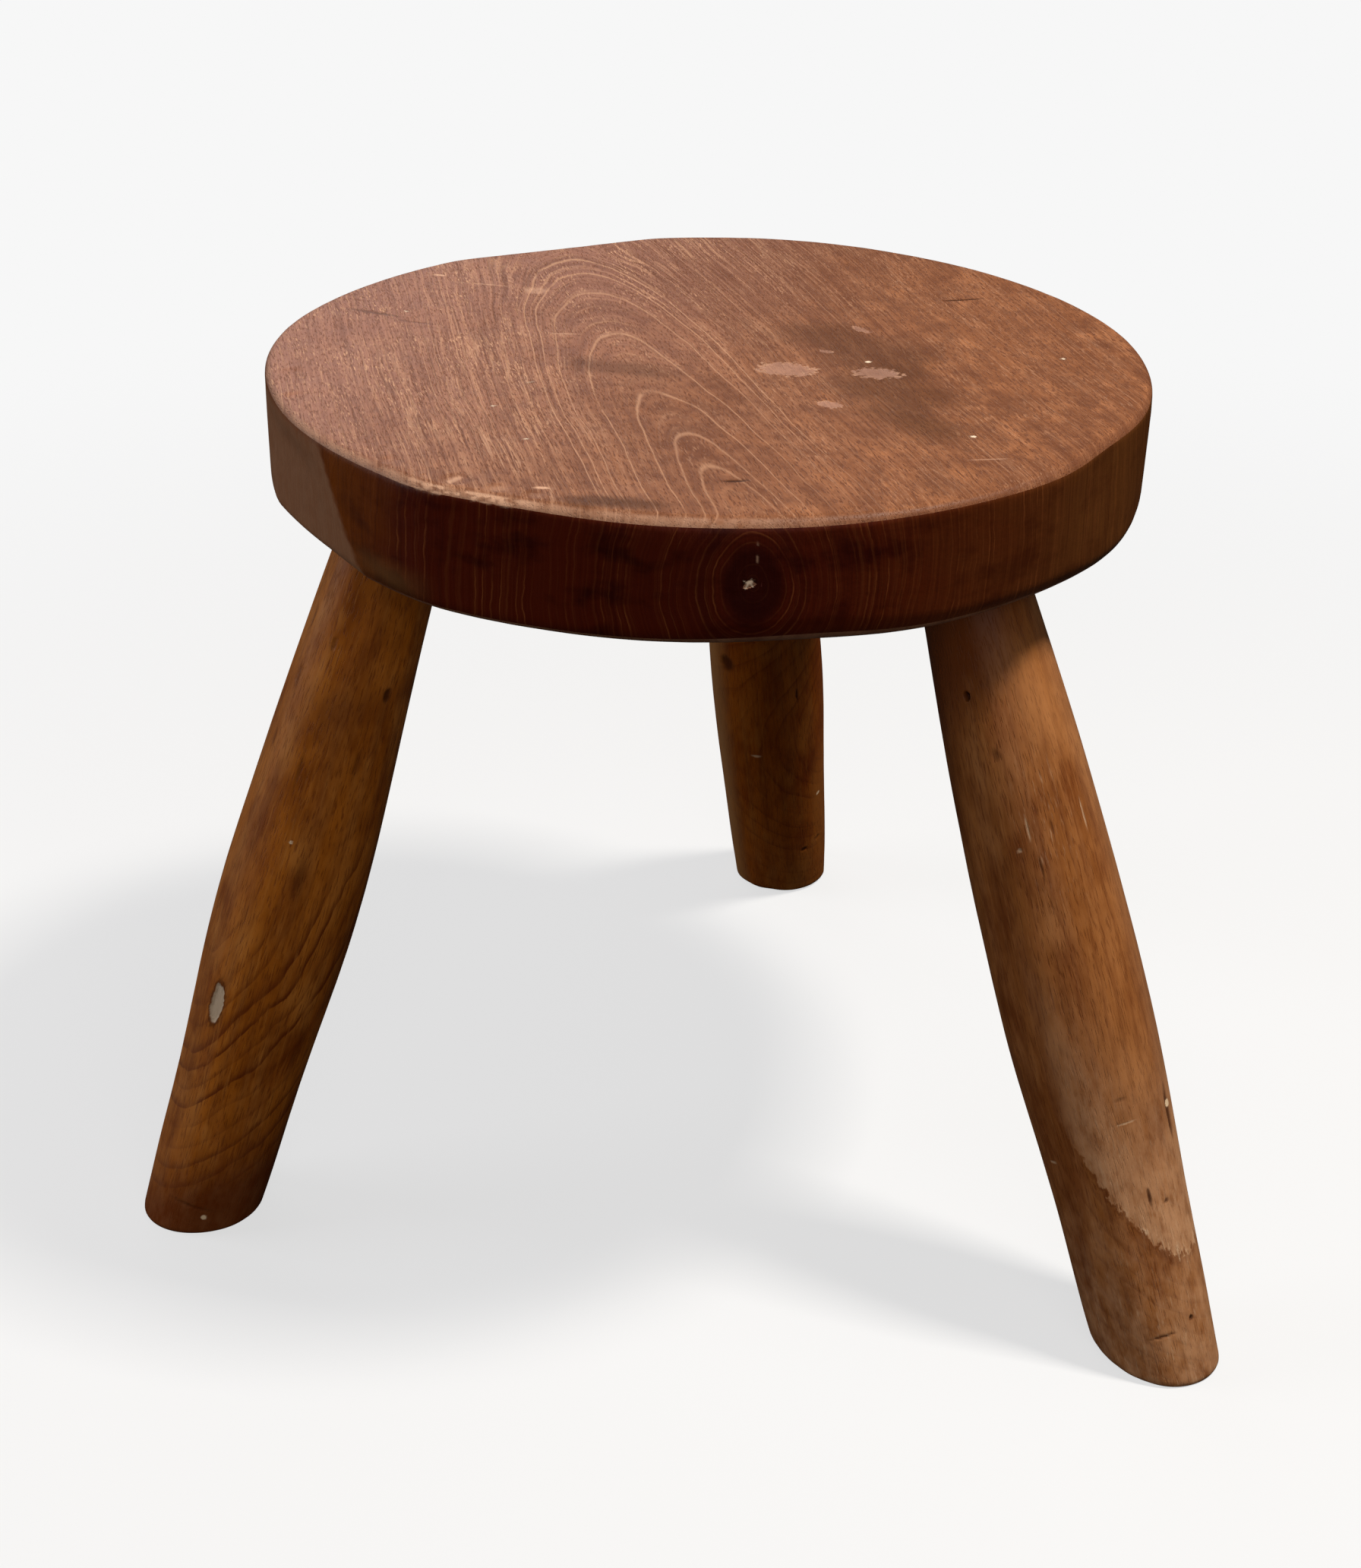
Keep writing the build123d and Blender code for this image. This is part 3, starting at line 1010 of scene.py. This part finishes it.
def seat_top_wood():
    """Polished by use: pale ring lines and dashes along the grain, dark pores, stains and bare flakes, with a
    painted sheen over the left and painted highlights along the top edge.
    """
    g = Graph("seat_top_wood", TOP_CENTRE)
    rings = seat_rings_in(g)
    fibres, flow = rings.fibres, rings.flow
    x, y = g.along((1, 0, 0)), g.along((0, 1, 0))
    bands = g.noise(flow, (150, 7, 1), 2.0)
    cloud = g.noise(g.at, (55, 55, 30), 2.0)
    mottle = g.noise(g.at, (9, 9, 9), 3.0, 0.6)
    leftness = (x * -1 + y * 0.25 + cloud * 30).over(-30, 120)
    rightness = (x + cloud * 40).over(-10, 110)
    share = (bands * 0.5 + cloud * 0.2 + mottle * 0.6 + 0.62).over(0, 1)
    g.colour = g.tint(rightness * 0.85, g.tint(share, TOP_DEEP, TOP_MID), g.tint(share, TOP_DEEP, TOP_WARM))
    blotch = g.noise(fibres, (22, 9, 9), 3.0, 0.65)
    g.coat(TOP_EMBER, blotch.over(0.0, 0.6) * (rightness * 0.45 + 0.2))
    g.coat(TOP_DEEP, blotch.over(0.0, -0.6) * (rightness * 0.3 + 0.25))
    back = (y + cloud * 20).over(20, 100) * x.near(-30, 110)
    g.coat(TOP_DEEP, back * 0.75)
    far_left = (x + cloud * 8).over(-90, -135)
    # Dry bloom on the polish and painted sheen: the left of the top is lighter and pinker, most of all at its
    # far left.
    g.coat(TOP_BLOOM_AND_SHEEN, leftness * 0.42 + far_left * 0.15)
    g.coat(TOP_DEEP, rings.age.over(0.5, 1.0) * 0.2)

    streaks = g.noise(flow, (55, 1.3, 1), 3.0, 0.7)
    mid_left = x.near(-55, 95)
    outer = rings.radius.over(42, 88) * 0.6 + 0.4
    g.coat(TOP_DEEP, streaks.over(0.15, -0.45) * outer * (0.85 - rightness * 0.3 - far_left * 0.35))
    g.coat(TOP_PALE, streaks.over(0.05, 0.7) * outer * (mid_left * 0.45 + leftness * 0.2 + 0.2))
    dashes = g.noise(fibres, (16, 0.7, 0.7))
    patchy = (g.noise(fibres, (40, 14, 14), 2.0) + 0.5).over(0, 1)
    g.coat(TOP_PALE, dashes.over(0.15, 0.6) * patchy * (leftness * 0.7 + 0.35))
    pores = g.noise(fibres, (8, 0.6, 0.6)).over(0.1, 0.5)
    g.coat(TOP_DEEP, pores * (1.0 - leftness * 0.3))
    hairs = g.noise(flow, (90, 3.4, 1), 2.0).near(0.0, 0.11)
    g.coat(TOP_PALE, hairs * patchy * outer * (mid_left * 0.5 + 0.15))
    fading = g.noise(fibres, (26, 9, 9), 2.0)
    ring_lines = rings.line(0.48, 0.22) * (fading + 0.4).over(0.0, 0.8)
    g.coat(TOP_PALE, ring_lines * (leftness * 0.3 + 0.4) * (outer * 1.5 - 0.5))
    arches = 0.0
    for radius, strength in BOLD_ARCHES:
        arches = rings.radius.near(radius, ARCH_HALF_WIDTH) * strength + arches
    inner = rings.side.near(0, 70).over(0, 0.4) * (x.over(70, 15) * 0.6 + 0.4)
    g.coat(TOP_PALE, arches * (0.6 - fading).over(-0.2, 0.5) * inner * 0.75)

    stain, flake = g.painted("stain"), g.painted("flake")
    g.coat(TOP_STAIN, stain * (mottle * 0.15 + 0.85))
    g.coat(BARE_FLAKE, flake * (mottle * 0.2 + 0.5))
    g.coat(PALE_FLAKE_AND_GLINT, g.painted("flake_rim") * 0.4)
    edge = g.upward().over(0.96, 0.78)
    chipped = (g.noise(g.at, (7, 7, 7), 3.0, 0.65) + 0.6).over(-0.1, 0.9)
    front = (y * -1 + cloud * 30).over(10, 110)
    on_right = (x + cloud * 10).over(20, 90)
    # The rounded top edge is lighter towards the front, partly worn wood and partly a painted edge highlight.
    g.coat(RIM_WORN_AND_HIGHLIGHT, edge * chipped * (front * 0.5 + 0.25) * (1.0 - on_right))
    g.coat(TOP_DEEP, edge * on_right * (chipped * -0.4 + 0.75))
    # Pale scratches, the pale check, and the painted glints along the rubbed top edge, a painted highlight.
    g.coat(PALE_FLAKE_AND_GLINT, g.painted("pale") * 0.8)
    g.coat(GROOVE, g.painted("groove"))
    g.coat(PAINT_SPECK, g.painted("speck"))
    gloss = mottle * 0.05 + streaks * 0.08 + flake * 0.15 + 0.45
    height = pores * -0.6 + streaks * 0.5 + mottle * 0.3
    return g.finish(gloss, height, SEAT_BUMP, TOP_SHINE)


def seat_side_wood():
    """Dark old polish over end grain in front, where the pith comes out, and long grain at the sides, with a
    painted sheen on the sawn facet and a painted highlight along the bottom edge at the front left.
    """
    g = Graph("seat_side_wood", TOP_CENTRE)
    rings = seat_rings_in(g, SIDE_WARP, SIDE_FAINTEST)
    x, z = g.along((1, 0, 0)), g.along((0, 0, 1))
    cloud = g.noise(g.at, (26, 26, 14), 2.0)
    upright = g.noise(g.at, (1.1, 1.1, 24), 2.0)
    mottle = g.noise(g.at, (5, 5, 5), 3.0, 0.6)
    facet = g.painted("facet")
    left = (x * -1 + cloud * 7).over(72, 104)
    right = (x + cloud * 12).over(50, 158)
    g.colour = g.tint(left * 0.9, SIDE_DARK, SIDE_BROWN)
    g.coat(SIDE_OLIVE, right * 0.42)
    g.coat(SIDE_OLIVE, x.over(118, 150) * 0.3)
    g.coat(SIDE_HEART, (upright * 0.6 + 0.25).over(0, 1) * (left * 0.5 + right * 0.35 + 0.1))
    shade = g.noise(g.at, (22, 22, 13), 3.0, 0.6)
    g.coat(SIDE_HEART, shade.over(-0.1, 0.6) * (0.85 - right * 0.5 - left * 0.4))
    around = g.noise(rings.flow, (60, 1.3, 1), 2.0, 0.6)
    g.coat(SIDE_LINE, around.over(0.0, 0.9) * 0.25)
    g.coat(SIDE_HEART, around.over(0.0, -0.9) * 0.4)
    lines = rings.line(0.6, 0.3) * (shade * -0.9 + 0.45).over(0, 1)
    g.coat(SIDE_LINE, lines * (0.75 - right * 0.3 - left * 0.6))
    heart = (rings.radius + mottle * 1.5).over(17, 11)
    g.coat(SIDE_HEART, heart * 0.8)
    g.coat(SIDE_HEART, rings.radius.near(23, 5) * 0.3)
    # The sawn facet is greyer, partly a greyed surface and partly a painted sheen.
    g.coat(SIDE_GREY_AND_SHEEN, facet * (mottle * 0.15 + upright * 0.2 + 0.75))
    # Painted highlight: a lighter strip along the rounded bottom edge at the front left.
    g.coat(SIDE_LOW_EDGE_HIGHLIGHT, (z + cloud * 3).near(-38, 8) * x.near(-84, 24) * 0.35)
    # The pale check, and the painted glints along the top edge, a painted highlight.
    g.coat(PALE_FLAKE_AND_GLINT, g.painted("pale"))
    g.coat(PAINT_SPECK, g.painted("speck"))
    gloss = mottle * 0.06 + upright * 0.05 + facet * 0.06 + 0.46
    return g.finish(gloss, upright * 0.5 + mottle * 0.4, SEAT_BUMP, SIDE_SHINE)


def seat_under_wood():
    """Planed once and never polished."""
    g = Graph("seat_under_wood", TOP_CENTRE)
    rings = seat_rings_in(g)
    bands = g.noise(rings.fibres, (150, 10, 10), 2.0)
    mottle = g.noise(g.at, (16, 16, 16), 3.0, 0.6)
    pores = g.noise(rings.fibres, (9, 0.55, 0.55)).over(0.25, 0.75)
    g.colour = g.tint((bands * 0.5 + mottle * 0.35 + 0.5).over(0, 1), TOP_DEEP, UNDER_WOOD)
    streaks = g.noise(rings.flow, (50, 1.6, 1), 3.0, 0.65)
    g.coat(TOP_DEEP, streaks.over(0.0, -0.7) * 0.6)
    g.coat(TOP_DEEP, rings.line(0.8, 0.3) * 0.6)
    g.coat(TOP_DEEP, pores * 0.6)
    return g.finish(mottle * 0.05 + 0.68, pores * -0.6 + bands * 0.3, SEAT_BUMP, UNDER_SHINE)


def wear_seat(ob):
    """Dresses the top, the side, and the underside with its mortises, each in its own wood."""
    wear(ob, seat_top_wood(), seat_side_wood(), seat_under_wood())
    faces = ob.data.polygons
    centres, up = read_triples(faces, "center"), read_triples(faces, "normal")[:, 2]
    out = np.hypot(*(centres - SEAT_CENTRE)[:, :2].T)
    inside = (out < SEAT_RADIUS - RIM_CLEAR) & (centres[:, 2] < SEAT_TOP - TOP_CLEAR)
    kind = np.where(up > FACES_UP, 0, 1)
    kind[(up < FACES_DOWN) | inside] = 2
    faces.foreach_set("material_index", kind.astype(np.int32))


# ---------------- leg wood

LEG_LOOKS = {
    # centre of the rings: angle round the leg in degrees, mm from its axis, and share of the way down
    "front_left": {
        "centre": (-100, 70, 0.42), "ends": (0.68, 0.15), "spacing": 5.6,
        "lines": 1.0, "rings_from": (0.36, 0.60), "pores": 0.6, "dusty": 0.7,
        "dark": (0.14, 0.026, 0.002), "mid": (0.44, 0.125, 0.008), "light": (0.56, 0.21, 0.04),
        "dust": (0.43, 0.2, 0.08), "red": (0.24, 0.052, 0.006),
    },
    "front_right": {
        "centre": (70, 90, 0.62), "ends": (1.0, 0.15), "spacing": 5.2,
        "lines": 0.4, "rings_from": (-0.4, -0.2), "pores": 0.6, "dusty": 0.7,
        "dark": (0.13, 0.03, 0.005), "mid": (0.31, 0.106, 0.024), "light": (0.45, 0.185, 0.062),
        "dust": (0.6, 0.315, 0.16), "red": (0.22, 0.064, 0.016),
    },
    "rear": {
        "centre": (75, 38, 0.64), "ends": (1.0, 0.9), "spacing": 7.5,
        "lines": 0.45, "rings_from": (-0.4, -0.2), "pores": 0.4, "dusty": 0.2,
        "dark": (0.1, 0.012, 0.0), "mid": (0.272, 0.066, 0.003), "light": (0.31, 0.104, 0.016),
        "dust": (0.3, 0.14, 0.045), "red": (0.16, 0.028, 0.001),
    },
}
LEG_WARP = ((3.5, 30.0, 2.0), (1.3, 9.0, 2.0), (0.3, 2.6, 2.5))
LEG_FAINTEST = 0.45
LEG_GROOVE = (0.045, 0.008, 0.001)
LEG_BARE = (0.52, 0.39, 0.27)
LEG_SPECK = (0.8, 0.58, 0.37)
LEG_BUMP = 0.14 * MM
LEG_SHINE = 0.12
FADES_BEHIND = (178, 120)  # degrees round the leg, so that no mask that follows the angle has a seam behind
TORN_EDGE = (0.000024, 0.0017, 0.829)  # its edge: start + by_angle * angle - by_square * angle squared


def leg_wood(axis):
    """Shaved by hand: streaks along the grain, ring lines, and each leg's own wear, with a painted shadow
    under the seat on the front right leg.
    """
    look = LEG_LOOKS[axis.name]
    dark, mid, light, dusty = look["dark"], look["mid"], look["light"], look["dust"]
    g = Graph("leg_wood_" + axis.name, axis.socket)
    a, b, h = g.along(axis.across), g.along(axis.beside), g.along(axis.up)
    length = axis.length / MM
    degrees, off_axis, share = look["centre"]
    centre = (axis.outward(radians(degrees)) * off_axis - axis.up * length * share).tolist()
    spacing, ends = look["spacing"], look["ends"]
    rings = Rings(g, centre, axis.up, spacing, LEG_WARP, LEG_FAINTEST, ends=ends, upwards=(1, 0, 0))
    fibres = g.join(h, a, b)
    angle = g.math("ARCTAN2", b, a) * (180 / pi)
    around = angle * g.math("ABSOLUTE", angle).over(*FADES_BEHIND)
    down = h * (-1 / length)

    bands = g.noise(fibres, (80, 6, 6), 2.0)
    cloud = g.noise(fibres, (32, 16, 16), 3.0, 0.6)
    mottle = g.noise(fibres, (10, 5, 5), 3.0, 0.6)
    g.colour = g.tint((bands * 0.45 + cloud * 0.4 + mottle * 0.15 + 0.6).over(0, 1), dark, mid)
    g.coat(light, (cloud * 0.6 - bands * 0.4 + 0.2).over(0, 0.9) * 0.75)
    shown = (down + around * 0.002).over(*look["rings_from"]) * look["lines"]
    g.coat(dark, rings.age.over(0.4, 1.0) * rings.next_luck * shown * 0.45)
    g.coat(dark, rings.line(1.7, 0.3) * (g.noise(fibres, (20, 6, 6)) + 0.8).over(0, 0.8) * shown)
    patches = g.noise(fibres, (26, 9, 9), 3.0, 0.6)
    g.coat(look["red"], patches.over(0.05, 0.6) * 0.4)
    g.coat(light, patches.over(-0.15, -0.7) * 0.35)
    streaks = g.noise(fibres, (28, 1.2, 1.2), 3.0, 0.6)
    g.coat(dark, streaks.over(0.0, 0.8) * 0.5)
    g.coat(light, streaks.over(0.0, -0.8) * 0.45)
    pores = g.noise(fibres, (6, 0.5, 0.5)).over(0.08, 0.6)
    g.coat(dark, pores * look["pores"])

    worn = (down + cloud * 0.05 + mottle * 0.04).over(0.72, 1.02)
    dust = worn * (mottle * 0.6 + 0.5).over(0, 1)
    if axis.name == "front_right":
        by_square, by_angle, start = TORN_EDGE
        bend = angle * angle * by_square - angle * by_angle - start
        border = down + bend + g.noise(fibres, (5, 2.5, 2.5), 3.0, 0.65) * 0.024
        front = angle.over(-62, -30) * angle.over(150, 100)
        torn = border.over(0.004, -0.004) * border.over(-0.30, -0.01) * front
        g.coat(dusty, torn * 0.75 * (mottle * 0.8 + streaks * 0.4 + 0.7).over(0, 1))
        g.coat(dark, border.near(0.007, 0.010) * front * 0.6)
        frayed = border.near(-0.002, 0.008) * (mottle + streaks * 0.5).over(-0.1, 0.5)
        g.coat(LEG_SPECK, frayed * front * angle.over(-28, -5) * 0.6)
        fuzz = g.noise(fibres, (7, 1.0, 1.0), 3.0, 0.6).over(0.1, 0.8)
        grey = h.near(-98, 45) * angle.near(-6, 36) * 0.5 + worn * 0.6 + torn * 0.4
        g.coat(LEG_SPECK, grey * fuzz * 0.7)
        g.coat(dusty, around.over(20, 65) * 0.25)
        # Painted shadow: the top of the leg, under the seat, is darker where the seat's shadow falls on it.
        g.coat(dark, (down + around * 0.0012).over(0.14, 0.04) * 0.9)
        band = (angle + down * 60 + cloud * 8).near(-16, 15) * down.over(0.42, 0.6) * down.over(0.95, 0.8)
        g.coat(dark, band * 0.4)
        belly = (down + cloud * 0.03).near(0.64, 0.2) * angle.near(2, 42)
        g.coat(light, belly * 0.3)
        bright = (h + cloud * 12).near(-52, 36) * angle.near(14, 52)
        g.coat(light, bright * 0.55)
        dust = dust + torn * 0.15
    if axis.name == "rear":
        g.coat(light, around.over(18, 34) * down.near(0.8, 0.18) * 0.55)
        g.coat(dusty, (angle + cloud * 8).near(-90, 34) * 0.75)
    if axis.name == "front_left":
        g.coat(dusty, around.over(-30, -80) * (cloud * 0.4 + 0.5).over(0, 1) * 0.38)
        swirl = (down + around * 0.0006 + cloud * 0.05).near(0.245, 0.045) * around.over(-70, -30)
        g.coat(dark, swirl * 0.5)
        g.coat(dark, (down + around * 0.0008 + cloud * 0.02).over(0.84, 0.95))
        dust = dust * 0.3
    g.coat(dusty, dust * look["dusty"])
    g.coat(LEG_GROOVE, g.painted("groove"))
    g.coat(LEG_BARE, g.painted("bare"))
    g.coat(LEG_SPECK, g.painted("pale"))
    gloss = mottle * 0.06 + dust * 0.2 + streaks * 0.05 + 0.46
    return g.finish(gloss, pores * -0.7 + streaks * 0.2 + mottle * 0.3, LEG_BUMP, LEG_SHINE)


# ---------------- wedge wood

WEDGE_LIGHT = (0.52, 0.33, 0.17)
WEDGE_DARK = (0.3, 0.16, 0.07)
WEDGE_BUMP = 0.12 * MM
WEDGE_SHINE = 0.4


def wedge_wood(axis):
    """Fresh pale oak, split along the grain and never polished."""
    g = Graph("wedge_wood_" + axis.name, axis.socket)
    fibres = g.join(g.along(axis.up), g.along(axis.across), g.along(axis.beside))
    bands = g.noise(fibres, (50, 2.2, 2.2), 2.0)
    pores = g.noise(fibres, (6, 0.5, 0.5)).over(0.3, 0.8)
    flecks = g.noise(fibres, (3, 1.4, 0.4)).over(0.45, 0.7)
    g.colour = g.tint((bands * 0.6 + 0.6).over(0, 1), WEDGE_DARK, WEDGE_LIGHT)
    g.coat(WEDGE_DARK, pores * 0.5)
    g.coat(BARE_FLAKE, flecks * 0.3)
    return g.finish(bands * 0.05 + 0.72, pores * -0.6 + bands * 0.3, WEDGE_BUMP, WEDGE_SHINE)


# ---------------- room, lights and camera

CAMERA_BEARING = radians(-80)  # from the seat's axis to the camera
CAMERA_AWAY = 919.8 * MM
CAMERA_HEIGHT = 637.7 * MM
CAMERA_PAN = radians(-0.544)
CAMERA_PITCH = radians(27.53)
CAMERA_ROLL = radians(0.909)
LENS_MM = 59.72
SENSOR_MM = 36
NEAREST_SEEN = 0.01
LIGHT_AIM = np.array([*SEAT_CENTRE[:2], 0.25])
LIGHTS = {
    # bearing and height in degrees, distance, size, colour, and brightness as the share of its own colour
    # that a white surface facing the light would show
    "key": (-5, 65, 1.7, (0.26, 0.26), (1.0, 0.95, 0.88), 1.15),
    "back": (128, 28, 1.8, (1.6, 0.9), (0.98, 0.95, 1.0), 0.17),
    "left": (190, 18, 1.6, (0.9, 1.1), (0.95, 0.96, 1.0), 0.36),
    "front": (-72, 22, 2.2, (1.5, 1.2), (1.0, 0.97, 0.94), 0.26),
}
ROOM_GLOW = 0.05
ROOM_SEEN = 0.93
FLOOR_SIZE = 12
FLOOR_SEEN = 0.85
FLOOR_BOUNCE = 0.12
FLOOR_ROUGHNESS = 0.9
FLOOR_SHINE = 0.1
FLOOR_FADE = (0.25, 1.1)  # metres from the stool
FLOOR_LEAST_FADE = 0.7


def bearing_way(bearing, height=0.0):
    """The direction at a bearing and a height, both in radians."""
    return np.array([cos(bearing) * cos(height), sin(bearing) * cos(height), sin(height)])


def make_camera():
    data = bpy.data.cameras.new("camera")
    data.lens = LENS_MM
    data.sensor_width = SENSOR_MM
    data.clip_start = NEAREST_SEEN
    ob = show("camera", data)
    heading = CAMERA_BEARING + pi - CAMERA_PAN
    ahead = Vector(bearing_way(heading, -CAMERA_PITCH))
    right = Vector((sin(heading), -cos(heading), 0))
    up = right.cross(ahead)
    rolled_right = right * cos(CAMERA_ROLL) + up * sin(CAMERA_ROLL)
    rolled_up = up * cos(CAMERA_ROLL) - right * sin(CAMERA_ROLL)
    turn = Matrix((rolled_right, rolled_up, -ahead)).transposed()
    place = SEAT_CENTRE + bearing_way(CAMERA_BEARING) * CAMERA_AWAY + np.array([0, 0, CAMERA_HEIGHT])
    ob.matrix_world = Matrix.Translation(place) @ turn.to_4x4()
    bpy.context.scene.camera = ob


def make_light(name, bearing, height, distance, size, colour, brightness):
    out = bearing_way(radians(bearing), radians(height))
    data = bpy.data.lights.new(name, "AREA")
    data.shape = "RECTANGLE"
    data.size, data.size_y = size
    data.energy = brightness * pi**2 * distance**2
    data.color = colour
    ob = show(name, data)
    ob.location = LIGHT_AIM + out * distance
    ob.rotation_euler = Vector(-out).to_track_quat("-Z", "Y").to_euler()


def seen_or_bounced(tree, seen, bounced):
    """A grey that is paler where it is seen directly than in the light it throws on the stool."""
    path = tree.nodes.new("ShaderNodeLightPath")
    mix = tree.nodes.new("ShaderNodeMapRange")
    tree.links.new(path.outputs["Is Camera Ray"], mix.inputs["Value"])
    mix.inputs["To Min"].default_value = bounced
    mix.inputs["To Max"].default_value = seen
    return mix.outputs[0]


def floor_material():
    """A pale floor that fades into the pale room some way from the stool."""
    material = bpy.data.materials.new("pale_floor")
    material.use_nodes = True
    tree = material.node_tree
    shader, output = tree.nodes["Principled BSDF"], tree.nodes["Material Output"]
    kinds = ("Emission", "TexCoord", "VectorMath", "MapRange", "MixShader")
    room, place, away, fade, mix = (tree.nodes.new("ShaderNode" + kind) for kind in kinds)
    shader.inputs["Roughness"].default_value = FLOOR_ROUGHNESS
    shader.inputs["Specular IOR Level"].default_value = FLOOR_SHINE
    away.operation = "LENGTH"
    fade.interpolation_type = "SMOOTHSTEP"
    fade.inputs["From Min"].default_value, fade.inputs["From Max"].default_value = FLOOR_FADE
    fade.inputs["To Min"].default_value = FLOOR_LEAST_FADE
    for source, socket in (
        (seen_or_bounced(tree, FLOOR_SEEN, FLOOR_BOUNCE), shader.inputs["Base Color"]),
        (seen_or_bounced(tree, ROOM_SEEN, 0), room.inputs["Strength"]),
        (place.outputs["Object"], away.inputs[0]),
        (away.outputs["Value"], fade.inputs["Value"]),
        (fade.outputs[0], mix.inputs[0]),
        (shader.outputs[0], mix.inputs[1]),
        (room.outputs[0], mix.inputs[2]),
        (mix.outputs[0], output.inputs["Surface"]),
    ):
        tree.links.new(source, socket)
    return material


def make_room():
    bpy.ops.mesh.primitive_plane_add(size=FLOOR_SIZE)
    floor = bpy.context.object
    floor.name = "floor"
    floor.data.materials.append(floor_material())
    scene = bpy.context.scene
    scene.world = scene.world or bpy.data.worlds.new("world")
    scene.world.use_nodes = True
    tree = scene.world.node_tree
    background = tree.nodes["Background"]
    background.inputs["Color"].default_value = (1, 1, 1, 1)
    tree.links.new(seen_or_bounced(tree, ROOM_SEEN, ROOM_GLOW), background.inputs["Strength"])
    for name, settings in LIGHTS.items():
        make_light(name, *settings)
    scene.view_settings.view_transform = "Standard"


# ---------------- build


def wear(ob, *materials):
    ob.data.materials.clear()
    for material in materials:
        ob.data.materials.append(material)


axes = []
for seed, name in enumerate(SOLES, start=7):
    leg, axis = make_leg(name, seed)
    wear(leg, leg_wood(axis))
    wear(frame["nodes"]["wedge_" + name], wedge_wood(axis))
    axes.append(axis)
wear_seat(make_seat(axes))
make_room()
make_camera()
